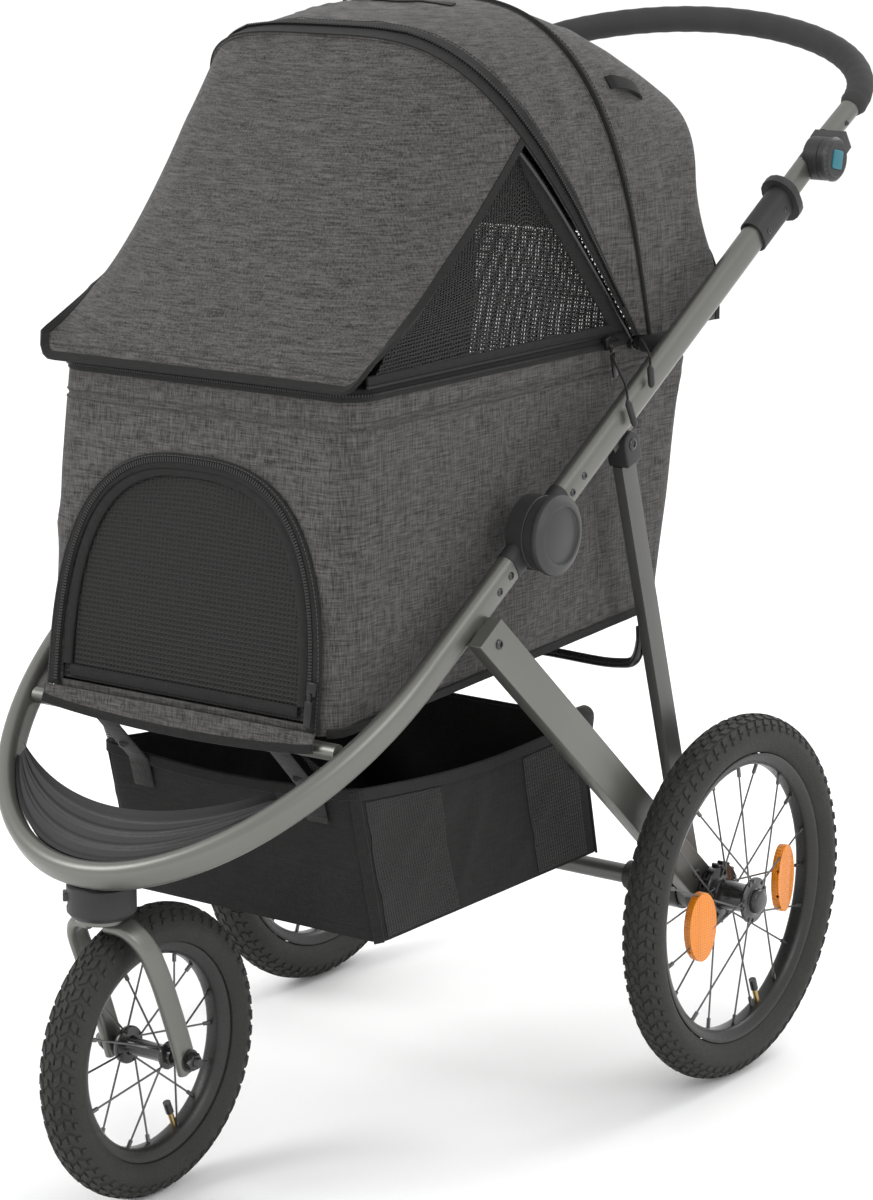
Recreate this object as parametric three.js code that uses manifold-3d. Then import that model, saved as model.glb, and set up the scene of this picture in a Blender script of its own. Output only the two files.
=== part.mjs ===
// A three-wheeled folding pet stroller, in millimetres. +Z is up and the stroller faces -Y.
// While it is built, x = 0 is the middle plane, the rear axle stands at y = 0 and the ground is z = 0.
// The user's left is +X: each left piece is modelled, and its right twin is its mirror image.
import * as THREE from "three";
import { mergeVertices } from "three/addons/utils/BufferGeometryUtils.js";
import Module from "manifold-3d";

const wasm = await Module();
wasm.setup();

// ---- Driving dimensions ----
const GAP = 0.4; // between touching pieces
const RUN = 0.6; // running clearance between moving faces

// Wheels
const REAR_RADIUS = 199.5;
const REAR_RIM = 158;
const TRACK_SPREAD = 118; // the rear wheels' track over the loop's width
const FRONT_RADIUS = 149;
const FRONT_RIM = 111;
const TYRE = 47; // section width
const TYRE_WALL = 3.5;
const REFLECTOR_LONG = 76;
const REFLECTOR_SHORT = 44;
const REFLECTOR_THICK = 9;
const REFLECTOR_RADIUS = 84; // from the hub
const REFLECTOR_TILT = 0.14;
const RIM_WIDTH = 27;
const RIM_DEPTH = 13.5;
const WHEELBASE = 635;
const REAR_SPOKES = 20;
const FRONT_SPOKES = 16;
const SPOKE = 2.4;
const WHEEL_SIDES = 28;
const STEER_TRAIL = 65;

// Frame plane: the front loop, the rails and the handle all lie in it
const FRAME_SLOPE = Math.atan(0.674);
const LOOP_Y = 167 - WHEELBASE; // the middle of the loop's ellipse, set back from the front wheel
const LOOP_Z = 534.8;
const LOOP_HALF_WIDTH = 225;
const LOOP_REACH = 320;
const RAIL_SPLAY = 0.0332; // outward, for each unit up the slope
const RAIL_DEPTH = 32;
const RAIL_WIDTH = 20;

// Stations up the slope from the loop's middle
const STRUT_U = 66;
const HINGE_U = 196.6;
const LEG_U = 362;
const CANOPY_U = 480;
const RAIL_END_U = 690;
const COLLAR_U = 656;
const TILT_U = 790;
const HANDLE_U = 885; // the middle of the handle's ellipse

// Fold hinge
const HINGE_RADIUS = 38;
const HINGE_PIN = 7;
const HINGE_PLATE = 11;
const CAP_RADIUS = 41;
const CAP_THICK = 11;
const HINGE_SLEEVE = 4; // between the disc and each rail's end
const HINGE_PLUG = 20; // how near the pin the rail's plugs reach

// Stem, collar, tilt joint and handle
const STEM_DEPTH = 28;
const STEM_WIDTH = 16;
const STEM_INSIDE = 58; // the length of the stem inside the rail
const COLLAR_LENGTH = 70;
const COLLAR_WALL = 3;
const COLLAR_TRAVEL = 18;
const TILT_RADIUS = 23.5;
const TILT_PLATE = 10;
const TILT_PIN = 5;
const TILT_PLUG = 16; // from the tilt pin to the stem's end
const TUBE_START = 12; // from the tilt disc to the handle tube
const BUTTON_HALF = 11;
const HANDLE_SPREAD = 31; // its half width over the loop's
const HANDLE_REACH = 134;
const HANDLE_TUBE = 22;
const GRIP = 30;
const GRIP_START = 876;

// Struts, legs and axle
const PIVOT_DROP = 30; // of the leg's pivot below the rail's middle line
const STRUT_DROP = 16;
const STRUT_DEPTH = 40;
const STRUT_WIDTH = 17;
const LEG_DEPTH = 25;
const LEG_WIDTH = 12;
const AXLE_TUBE = 21;
const DRUM_RADIUS = 26.5;
const SPINDLE = 12;
const BRACE_TUBE = 11;
const BRACE_DROP = 215;
const LEG_EYE = 22;
const LEG_CAP = 22; // length of the leg's cap, below its pivot
const PEDAL_X = 150;
const PEDAL_WIDTH = 32;
const PEDAL_SLEEVE = 5; // wall

// Front end
const CROSSBAR = 17;
const CROSSBAR_Y = 60 - WHEELBASE;
const CROSSBAR_Z = 470;
const HEAD_RADIUS = 34;
const HEAD_TOP = 337;
const HEAD_BOTTOM = 306;
const FORK_SPAN = 47;
const FORK_DEPTH = 25;
const FORK_WIDTH = 11;
const TRAY_THICK = 9;
const TRAY_HALF_WIDTH = 160;
const TRAY_TIP = -190; // where its inner edge starts, up the slope
const TRAY_CURVE = -300;

// Cabin, canopy and basket
const CLOTH = 4;
const CABIN_HALF_WIDTH = 187;
const CABIN_FRONT = 57 - WHEELBASE;
const CABIN_FLOOR_FRONT = 481;
const CABIN_FLOOR_REAR = 510;
const CABIN_BACK = 697 - WHEELBASE;
const CABIN_TOP = 812;
const DOOR_HALF_WIDTH = 157;
const DOOR_HEIGHT = 232;
const DOOR_SILL = 12;
const HOOP_HEIGHT = 343;
const HOOP_HALF_WIDTH = 200;
const HOOP_ANGLE = THREE.MathUtils.degToRad(104);
const BOW_HEIGHT = 407;
const BOW_HALF_WIDTH = 192;
const BOW_ANGLE = THREE.MathUtils.degToRad(132);
const HOOP_TUBE = 7;
const PIVOT_PIN = 3.2;
const FOLD_EASE = 2.5; // of the cloth round the wires
const SHADE_FRONT = 82 - WHEELBASE;
const SHADE_HEM = 816;
const BACK_PANEL_Y = 707 - WHEELBASE;
const BACK_PANEL_Z = 894;
const CABIN_LEAN = 40; // of the front face, from its foot to its top
const CABIN_TUCK = [55, 30, 640]; // how far the back stands in at its foot and at this height
const MAT_EDGE = 1; // a floor ends this far inside a wall that leans over it
const MAT_RISE = 3; // and meets the wall this far up
const BASKET_HALF_WIDTH = 163;
const BASKET = {
  frontTop: [124 - WHEELBASE, 411],
  frontBottom: [164 - WHEELBASE, 246],
  rearBottom: [557 - WHEELBASE, 248],
  rearTop: [525 - WHEELBASE, 400],
};
const STRAP_X = 112;
const STRAP_WIDTH = 26;
const STRAP_THICK = 3;

// ---- Places worked out from the driving dimensions ----
const rearTrack = 2 * LOOP_HALF_WIDTH + TRACK_SPREAD;
const handleHalfWidth = LOOP_HALF_WIDTH + HANDLE_SPREAD;
const wheelX = rearTrack / 2;
const axleZ = REAR_RADIUS;
const frontY = -WHEELBASE;
const steerY = frontY - STEER_TRAIL;
const slope = new THREE.Vector3(0, Math.cos(FRAME_SLOPE), Math.sin(FRAME_SLOPE));
const lift = new THREE.Vector3(0, -Math.sin(FRAME_SLOPE), Math.cos(FRAME_SLOPE));

// A point of the frame plane: u up the slope, n above the plane.
function onFrame(u, n = 0, x = 0) {
  return new THREE.Vector3(x, LOOP_Y, LOOP_Z).addScaledVector(slope, u).addScaledVector(lift, n);
}
const railX = (u) => LOOP_HALF_WIDTH + RAIL_SPLAY * u;

const hinge = onFrame(HINGE_U);
const strutTop = onFrame(STRUT_U, -STRUT_DROP);
const legTop = onFrame(LEG_U, -PIVOT_DROP);
const canopyPivot = onFrame(CANOPY_U);
const tilt = onFrame(TILT_U);
const strutX = railX(STRUT_U) + RAIL_WIDTH / 2 + RUN + STRUT_WIDTH / 2; // it runs outside the rail
const legX = strutX - STRUT_WIDTH / 2 - RUN - LEG_WIDTH / 2; // and the leg inside the strut

// ---- Materials ----
const material = (color, roughness, metalness = 0) =>
  new THREE.MeshStandardMaterial({ color, roughness, metalness });
const titanium = material(0x6f7069, 0.38, 0.8);
const blackPlastic = material(0x2b2b2c, 0.55);
const softBlack = material(0x232323, 0.9);
const rubber = material(0x2f302e, 0.85);
const blackMetal = material(0x161616, 0.35, 0.5);
const charcoal = material(0x4b4846, 0.95);
const mesh = material(0x35352f, 0.95);
const amber = material(0xf08a12, 0.3);
const teal = material(0x2f8c97, 0.45);

// ---- Solids ----
// Turns a closed geometry into a solid whose faces point out.
function solid(geometry) {
  const bare = geometry.index ? geometry.toNonIndexed() : geometry.clone();
  bare.deleteAttribute("normal");
  bare.deleteAttribute("uv");
  const merged = mergeVertices(bare, 1e-3);
  const corners = new Uint32Array(merged.index.array);
  const build = () =>
    new wasm.Manifold(
      new wasm.Mesh({ numProp: 3, vertProperties: merged.attributes.position.array, triVerts: corners }),
    );
  const made = build();
  if (made.volume() > 0) return made;
  for (let i = 0; i < corners.length; i += 3) [corners[i], corners[i + 1]] = [corners[i + 1], corners[i]];
  return build();
}

const join = (first, ...rest) => rest.reduce((whole, next) => whole.add(next), first);
const cut = (first, ...rest) => rest.reduce((whole, next) => whole.subtract(next), first);

function geometryOf(made) {
  const { vertProperties, triVerts } = made.getMesh();
  const geometry = new THREE.BufferGeometry();
  geometry.setAttribute("position", new THREE.BufferAttribute(new Float32Array(vertProperties), 3));
  geometry.setIndex(new THREE.BufferAttribute(new Uint32Array(triVerts), 1));
  geometry.computeVertexNormals();
  return geometry;
}

// A cylinder along X, from x0 to x1.
function rod(radius, x0, x1, y, z, sides = 18) {
  const geometry = new THREE.CylinderGeometry(radius, radius, x1 - x0, sides);
  return solid(geometry.rotateZ(Math.PI / 2).translate((x0 + x1) / 2, y, z));
}

// A straight round bar between two points.
function bar(from, to, radius, sides = 6) {
  const along = new THREE.Vector3().subVectors(to, from);
  const geometry = new THREE.CylinderGeometry(radius, radius, along.length(), sides);
  const turn = new THREE.Quaternion().setFromUnitVectors(new THREE.Vector3(0, 1, 0), along.clone().normalize());
  const middle = new THREE.Vector3().addVectors(from, to).multiplyScalar(0.5);
  return solid(geometry.applyQuaternion(turn).translate(middle.x, middle.y, middle.z));
}

// A profile of [along X, radius] points, turned about a line along X.
function turned(profile, y, z, sides = 24) {
  const geometry = new THREE.LatheGeometry(profile.map(([x, r]) => new THREE.Vector2(r, x)), sides);
  return solid(geometry.rotateZ(-Math.PI / 2).translate(0, y, z));
}

// A profile of [radius, height] points, turned about the upright line at x = 0.
function turnedUpright(profile, y, sides = 32) {
  const geometry = new THREE.LatheGeometry(profile.map(([r, z]) => new THREE.Vector2(r, z)), sides);
  return solid(geometry.rotateX(Math.PI / 2).translate(0, y, 0));
}

function outline(points) {
  return new THREE.Shape(points.map(([a, b]) => new THREE.Vector2(a, b)));
}

function disc(radius, a = 0, b = 0) {
  return new THREE.Shape().absarc(a, b, radius, 0, 2 * Math.PI, false);
}

// A flat oval, long side along the section's first axis.
function oval(long, short) {
  const radius = short / 2;
  const straight = (long - short) / 2;
  const shape = new THREE.Shape();
  shape.absarc(straight, 0, radius, -Math.PI / 2, Math.PI / 2, false);
  shape.absarc(-straight, 0, radius, Math.PI / 2, 1.5 * Math.PI, false);
  return shape;
}

// A shape drawn in (y, z), from x0 to x1.
function plate(shape, x0, x1, curveSegments = 12) {
  const geometry = new THREE.ExtrudeGeometry(shape, { depth: x1 - x0, bevelEnabled: false, curveSegments });
  const axes = new THREE.Matrix4().makeBasis(
    new THREE.Vector3(0, 1, 0),
    new THREE.Vector3(0, 0, 1),
    new THREE.Vector3(1, 0, 0),
  );
  return solid(geometry.applyMatrix4(axes).translate(x0, 0, 0));
}

// A shape drawn in (x, u) on the frame plane, from n0 to n1 above it.
function frameSheet(shape, n0, n1, curveSegments = 12) {
  const geometry = new THREE.ExtrudeGeometry(shape, { depth: n1 - n0, bevelEnabled: false, curveSegments });
  const axes = new THREE.Matrix4().makeBasis(new THREE.Vector3(1, 0, 0), slope, lift);
  const place = onFrame(0, n0);
  return solid(geometry.applyMatrix4(axes).translate(place.x, place.y, place.z));
}

// A plate drawn in (u, n) beside the rail, from x0 to x1.
function sidePlate(shape, x0, x1, curveSegments = 12) {
  const geometry = new THREE.ExtrudeGeometry(shape, { depth: x1 - x0, bevelEnabled: false, curveSegments });
  const axes = new THREE.Matrix4().makeBasis(slope, lift, new THREE.Vector3(1, 0, 0));
  return solid(geometry.applyMatrix4(axes).translate(x0, LOOP_Y, LOOP_Z));
}

// Sweeps a section along a curve, with the section's first axis kept on the side of across.
function sweep(curve, shape, steps, across, curveSegments = 3) {
  curve.computeFrenetFrames = (segments) => {
    const frames = { tangents: [], normals: [], binormals: [] };
    for (let i = 0; i <= segments; i += 1) {
      const tangent = curve.getTangentAt(i / segments);
      const binormal = new THREE.Vector3().crossVectors(tangent, across).normalize();
      frames.tangents.push(tangent);
      frames.binormals.push(binormal);
      frames.normals.push(new THREE.Vector3().crossVectors(binormal, tangent));
    }
    return frames;
  };
  return solid(new THREE.ExtrudeGeometry(shape, { steps, extrudePath: curve, curveSegments }));
}

// Half an ellipse in the frame plane, from +X over its far point to -X.
class FrameArc extends THREE.Curve {
  constructor(middleU, halfWidth, reach) {
    super();
    Object.assign(this, { middleU, halfWidth, reach });
  }
  getPoint(t) {
    const angle = Math.PI * t;
    return onFrame(this.middleU + this.reach * Math.sin(angle), 0, this.halfWidth * Math.cos(angle));
  }
}

// An arch in a plane through the X direction, from +X over its crown to -X; power 1 is an ellipse.
class Arch extends THREE.Curve {
  constructor(foot, angle, halfWidth, height, power) {
    super();
    Object.assign(this, { foot, angle, halfWidth, height, power });
  }
  getPoint(t) {
    const turn = Math.PI * t;
    const side = Math.cos(turn);
    const out = Math.sign(side) * Math.abs(side) ** this.power * this.halfWidth;
    const up = Math.sin(turn) ** this.power * this.height;
    return new THREE.Vector3(out, this.foot.y + up * Math.cos(this.angle), this.foot.z + up * Math.sin(this.angle));
  }
}

// A closed thin solid over a grid of points: surface(s, t) gives its outer face, which is thickened inwards.
function cloth(surface, rows, columns, thickness) {
  const at = (s, t) => surface(THREE.MathUtils.clamp(s, 0, 1), THREE.MathUtils.clamp(t, 0, 1));
  const outer = [];
  const inner = [];
  const step = 1e-3;
  for (let i = 0; i <= rows; i += 1) {
    for (let j = 0; j <= columns; j += 1) {
      const [s, t] = [i / rows, j / columns];
      const point = at(s, t);
      const down = new THREE.Vector3().subVectors(at(s + step, t), at(s - step, t));
      const over = new THREE.Vector3().subVectors(at(s, t + step), at(s, t - step));
      const inward = new THREE.Vector3().crossVectors(down, over).normalize();
      outer.push(point);
      inner.push(point.clone().addScaledVector(inward, thickness));
    }
  }
  const points = [...outer, ...inner];
  const shift = outer.length;
  const index = (i, j) => i * (columns + 1) + j;
  const faces = [];
  for (let i = 0; i < rows; i += 1) {
    for (let j = 0; j < columns; j += 1) {
      const [a, b, c, d] = [index(i, j), index(i, j + 1), index(i + 1, j + 1), index(i + 1, j)];
      faces.push(a, b, c, a, c, d, a + shift, c + shift, b + shift, a + shift, d + shift, c + shift);
    }
  }
  const rim = [];
  for (let j = 0; j < columns; j += 1) rim.push([index(0, j), index(0, j + 1)]);
  for (let i = 0; i < rows; i += 1) rim.push([index(i, columns), index(i + 1, columns)]);
  for (let j = columns; j > 0; j -= 1) rim.push([index(rows, j), index(rows, j - 1)]);
  for (let i = rows; i > 0; i -= 1) rim.push([index(i, 0), index(i - 1, 0)]);
  for (const [a, b] of rim) faces.push(a, b + shift, b, a, a + shift, b + shift);
  const geometry = new THREE.BufferGeometry();
  geometry.setAttribute("position", new THREE.Float32BufferAttribute(points.flatMap((p) => p.toArray()), 3));
  geometry.setIndex(faces);
  return solid(geometry);
}

// ---- The scene graph ----
const stroller = new THREE.Group();

function piece(name, look, made) {
  const node = new THREE.Mesh(geometryOf(made), look);
  node.name = name;
  stroller.add(node);
}

// A left piece and its mirror image.
function pair(name, look, made) {
  const left = new THREE.Mesh(geometryOf(made), look);
  left.name = name + "_left";
  const right = left.clone();
  right.name = name + "_right";
  right.scale.x = -1;
  stroller.add(left, right);
}

// ---- Frame ----
function frontFrame() {
  const end = HINGE_U - HINGE_RADIUS - HINGE_SLEEVE;
  const left = new THREE.LineCurve3(onFrame(end, 0, railX(end)), onFrame(0, 0, LOOP_HALF_WIDTH));
  const right = new THREE.LineCurve3(onFrame(0, 0, -LOOP_HALF_WIDTH), onFrame(end, 0, -railX(end)));
  const path = new THREE.CurvePath();
  path.add(left);
  path.add(new FrameArc(0, LOOP_HALF_WIDTH, -LOOP_REACH));
  path.add(right);
  piece("front_frame", titanium, sweep(path, oval(RAIL_DEPTH, RAIL_WIDTH), 44, lift, 2));

  // The crossbar ends against the loop's inner faces.
  const u = (CROSSBAR_Y - LOOP_Y) / slope.y;
  const tubeOnSlope = LOOP_HALF_WIDTH * Math.sqrt(1 - (u / LOOP_REACH) ** 2);
  const reach = tubeOnSlope - RAIL_WIDTH / 2 - 3;
  piece("crossbar", titanium, rod(CROSSBAR / 2, -reach, reach, CROSSBAR_Y, CROSSBAR_Z, 20));
}

function footrestTray() {
  const clear = RAIL_WIDTH / 2 + 1.5;
  const shape = new THREE.Shape();
  const steps = 20;
  for (let i = 0; i <= steps; i += 1) {
    const x = TRAY_HALF_WIDTH * (1 - (2 * i) / steps);
    const u = -(LOOP_REACH - clear) * Math.sqrt(1 - (x / (LOOP_HALF_WIDTH - clear)) ** 2);
    if (i === 0) shape.moveTo(x, u);
    else shape.lineTo(x, u);
  }
  shape.lineTo(-TRAY_HALF_WIDTH, TRAY_TIP);
  shape.quadraticCurveTo(0, TRAY_CURVE, TRAY_HALF_WIDTH, TRAY_TIP);
  piece("footrest_tray", blackPlastic, frameSheet(shape, -TRAY_THICK / 2, TRAY_THICK / 2, 16));
}

function rails() {
  const start = HINGE_U + HINGE_RADIUS + HINGE_SLEEVE;
  const at = (u) => onFrame(u, 0, railX(u));
  const tube = sweep(new THREE.LineCurve3(at(start), at(RAIL_END_U)), oval(RAIL_DEPTH, RAIL_WIDTH), 1, lift, 4);
  const stemSpace = sweep(
    new THREE.LineCurve3(at(RAIL_END_U - STEM_INSIDE - GAP), at(RAIL_END_U + 5)),
    oval(STEM_DEPTH + 2 * GAP, STEM_WIDTH + 2 * GAP),
    1,
    lift,
    4,
  );
  // The canopy's pivot pin stands on the rail's inner face.
  const bossFace = HOOP_HALF_WIDTH + HOOP_TUBE / 2 + RUN;
  const boss = rod(10, bossFace, railX(CANOPY_U), canopyPivot.y, canopyPivot.z, 20);
  const pin = rod(PIVOT_PIN, BOW_HALF_WIDTH - HOOP_TUBE / 2, bossFace + 1, canopyPivot.y, canopyPivot.z, 12);
  pair("upper_rail", titanium, cut(join(tube, boss, pin), stemSpace));

  const stemEnd = TILT_U - TILT_PLUG;
  const stem = sweep(
    new THREE.LineCurve3(at(RAIL_END_U - STEM_INSIDE), at(stemEnd)),
    oval(STEM_DEPTH, STEM_WIDTH),
    1,
    lift,
    4,
  );
  pair("handle_stem", titanium, stem);
}

// The lower and upper hinge halves stand side by side; the pin belongs to the upper half.
function foldHinge() {
  const x = railX(HINGE_U);
  const inner = x - RAIL_WIDTH / 2;
  const plug = (from, to) => {
    const at = (u) => onFrame(u, 0, railX(u));
    return sweep(new THREE.LineCurve3(at(from), at(to)), oval(RAIL_DEPTH, RAIL_WIDTH), 1, lift, 4);
  };
  const face = x + RAIL_WIDTH / 2 + 1;
  const lowerDisc = rod(HINGE_RADIUS, inner, face, hinge.y, hinge.z, 28);
  const pinHole = rod(HINGE_PIN + GAP, inner - 5, face + 5, hinge.y, hinge.z, 16);
  const lowerPlug = plug(HINGE_U - HINGE_RADIUS - HINGE_SLEEVE + GAP, HINGE_U - HINGE_PLUG);
  pair("hinge_lower", blackPlastic, cut(join(lowerDisc, lowerPlug), pinHole));

  const seat = face + RUN;
  const back = seat + HINGE_PLATE;
  const space = rod(HINGE_RADIUS + RUN, inner - 5, seat, hinge.y, hinge.z, 28);
  const upperPlug = cut(plug(HINGE_U + HINGE_PLUG, HINGE_U + HINGE_RADIUS + HINGE_SLEEVE - GAP), space);
  const neck = sidePlate(
    outline([
      [HINGE_U, -RAIL_DEPTH / 2],
      [HINGE_U + HINGE_RADIUS + HINGE_SLEEVE - GAP, -RAIL_DEPTH / 2 + 3],
      [HINGE_U + HINGE_RADIUS + HINGE_SLEEVE - GAP, RAIL_DEPTH / 2 - 3],
      [HINGE_U, RAIL_DEPTH / 2],
    ]),
    x,
    back,
  );
  const upperDisc = rod(HINGE_RADIUS, seat, back, hinge.y, hinge.z, 28);
  const pin = rod(HINGE_PIN, inner + 1, back, hinge.y, hinge.z, 16);
  pair("hinge_upper", blackPlastic, join(cut(join(upperDisc, neck), space), upperPlug, pin));

  const cover = back + GAP;
  const profile = [
    [cover, 0],
    [cover, CAP_RADIUS - 1],
    [cover + 2, CAP_RADIUS],
    [cover + CAP_THICK - 4, CAP_RADIUS - 1],
    [cover + CAP_THICK, CAP_RADIUS - 8],
    [cover + CAP_THICK, CAP_RADIUS - 12],
    [cover + CAP_THICK - 2.5, CAP_RADIUS - 14],
    [cover + CAP_THICK - 2.5, 0],
  ];
  pair("hinge_cap", blackPlastic, turned(profile, hinge.y, hinge.z, 28));
}

// A sleeve round the rail's end, with a finger flange; pulled up the stem, it frees the fold.
function releaseCollar() {
  const at = (u) => onFrame(u, 0, railX(u));
  const outer = (wall) => oval(RAIL_DEPTH + 2 * wall, RAIL_WIDTH + 2 * wall);
  const top = COLLAR_U + COLLAR_LENGTH;
  const sleeve = sweep(new THREE.LineCurve3(at(COLLAR_U), at(top)), outer(GAP + COLLAR_WALL), 1, lift, 4);
  const flange = sweep(new THREE.LineCurve3(at(top - 9), at(top)), oval(RAIL_DEPTH + 24, RAIL_WIDTH + 22), 1, lift, 4);
  const railSpace = sweep(
    new THREE.LineCurve3(at(COLLAR_U - 5), at(RAIL_END_U + COLLAR_TRAVEL + 1)),
    outer(GAP),
    1,
    lift,
    4,
  );
  const stemSpace = sweep(
    new THREE.LineCurve3(at(COLLAR_U), at(top + 5)),
    oval(STEM_DEPTH + 2 * GAP, STEM_WIDTH + 2 * GAP),
    1,
    lift,
    4,
  );
  pair("release_collar", blackPlastic, cut(join(sleeve, flange), railSpace, stemSpace));
}

function tiltJoint() {
  const x = railX(TILT_U);
  const inner = x + STEM_WIDTH / 2;
  const innerDisc = rod(TILT_RADIUS, x + 1, inner + TILT_PLATE, tilt.y, tilt.z, 24);
  const at = (u) => onFrame(u, 0, railX(u));
  const plugStart = TILT_U - TILT_PLUG + GAP;
  const plug = sweep(new THREE.LineCurve3(at(plugStart), at(TILT_U + 6)), oval(STEM_DEPTH, STEM_WIDTH), 1, lift, 4);
  const stemSpace = sweep(
    new THREE.LineCurve3(at(TILT_U - 40), at(plugStart)),
    oval(STEM_DEPTH + 2, STEM_WIDTH + 2 * GAP),
    1,
    lift,
    4,
  );
  const bore = rod(TILT_PIN + GAP, x - 20, inner + 30, tilt.y, tilt.z, 20);
  pair("tilt_inner", blackPlastic, cut(join(innerDisc, plug), stemSpace, bore));

  const seat = inner + TILT_PLATE + RUN;
  const face = seat + TILT_PLATE + 3;
  const outerDisc = turned(
    [
      [seat, 0],
      [seat, TILT_RADIUS],
      [face - 3, TILT_RADIUS],
      [face, TILT_RADIUS - 3],
      [face, 0],
    ],
    tilt.y,
    tilt.z,
    24,
  );
  // The arm goes round the inner disc to the handle tube.
  const tubeStart = TILT_U + TILT_RADIUS + TUBE_START;
  const half = HANDLE_TUBE / 2;
  const arm = sidePlate(
    outline([
      [TILT_U, -half],
      [tubeStart - 1, -half],
      [tubeStart - 1, half],
      [TILT_U, half],
    ]),
    x - half + 1,
    face - 3,
  );
  const space = rod(TILT_RADIUS + RUN, x - 30, seat, tilt.y, tilt.z, 24);
  const pin = rod(TILT_PIN, x - 4, face - 5, tilt.y, tilt.z, 20);
  const pocket = sidePlate(buttonShape(BUTTON_HALF + GAP), face - 4.5, face + 10, 4);
  pair("tilt_outer", blackPlastic, cut(join(cut(join(outerDisc, arm), space), pin), pocket));
  pair("tilt_button", teal, sidePlate(buttonShape(BUTTON_HALF), face - 1.9, face + 1.2, 4));
}

// A square standing on its corner, with round corners.
function buttonShape(half) {
  const round = 3;
  const shape = new THREE.Shape();
  for (let i = 0; i < 4; i += 1) {
    const angle = (Math.PI / 2) * i;
    const a = TILT_U + (half - round) * Math.SQRT2 * Math.cos(angle) * 0.9;
    const b = (half - round) * Math.SQRT2 * Math.sin(angle) * 0.9;
    shape.absarc(a, b, round, angle - Math.PI / 4, angle + Math.PI / 4, false);
  }
  return shape;
}

function handlebar() {
  const tubeStart = TILT_U + TILT_RADIUS + TUBE_START;
  const xStart = railX(TILT_U);
  const path = new THREE.CurvePath();
  path.add(new THREE.LineCurve3(onFrame(tubeStart, 0, xStart), onFrame(HANDLE_U, 0, handleHalfWidth)));
  path.add(new FrameArc(HANDLE_U, handleHalfWidth, HANDLE_REACH));
  path.add(new THREE.LineCurve3(onFrame(HANDLE_U, 0, -handleHalfWidth), onFrame(tubeStart, 0, -xStart)));
  const tube = sweep(path, disc(HANDLE_TUBE / 2), 32, lift, 3);
  piece("handlebar", titanium, tube);

  const grip = new THREE.CurvePath();
  grip.add(
    new THREE.LineCurve3(
      onFrame(GRIP_START, 0, handleHalfWidth - 0.2),
      onFrame(HANDLE_U, 0, handleHalfWidth),
    ),
  );
  grip.add(new FrameArc(HANDLE_U, handleHalfWidth, HANDLE_REACH));
  grip.add(
    new THREE.LineCurve3(
      onFrame(HANDLE_U, 0, -handleHalfWidth),
      onFrame(GRIP_START, 0, -handleHalfWidth + 0.2),
    ),
  );
  const bore = sweep(path, disc(HANDLE_TUBE / 2 + 2 * GAP), 32, lift, 3);
  piece("handle_grip", softBlack, cut(sweep(grip, disc(GRIP / 2), 26, lift, 3), bore));
}

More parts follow.
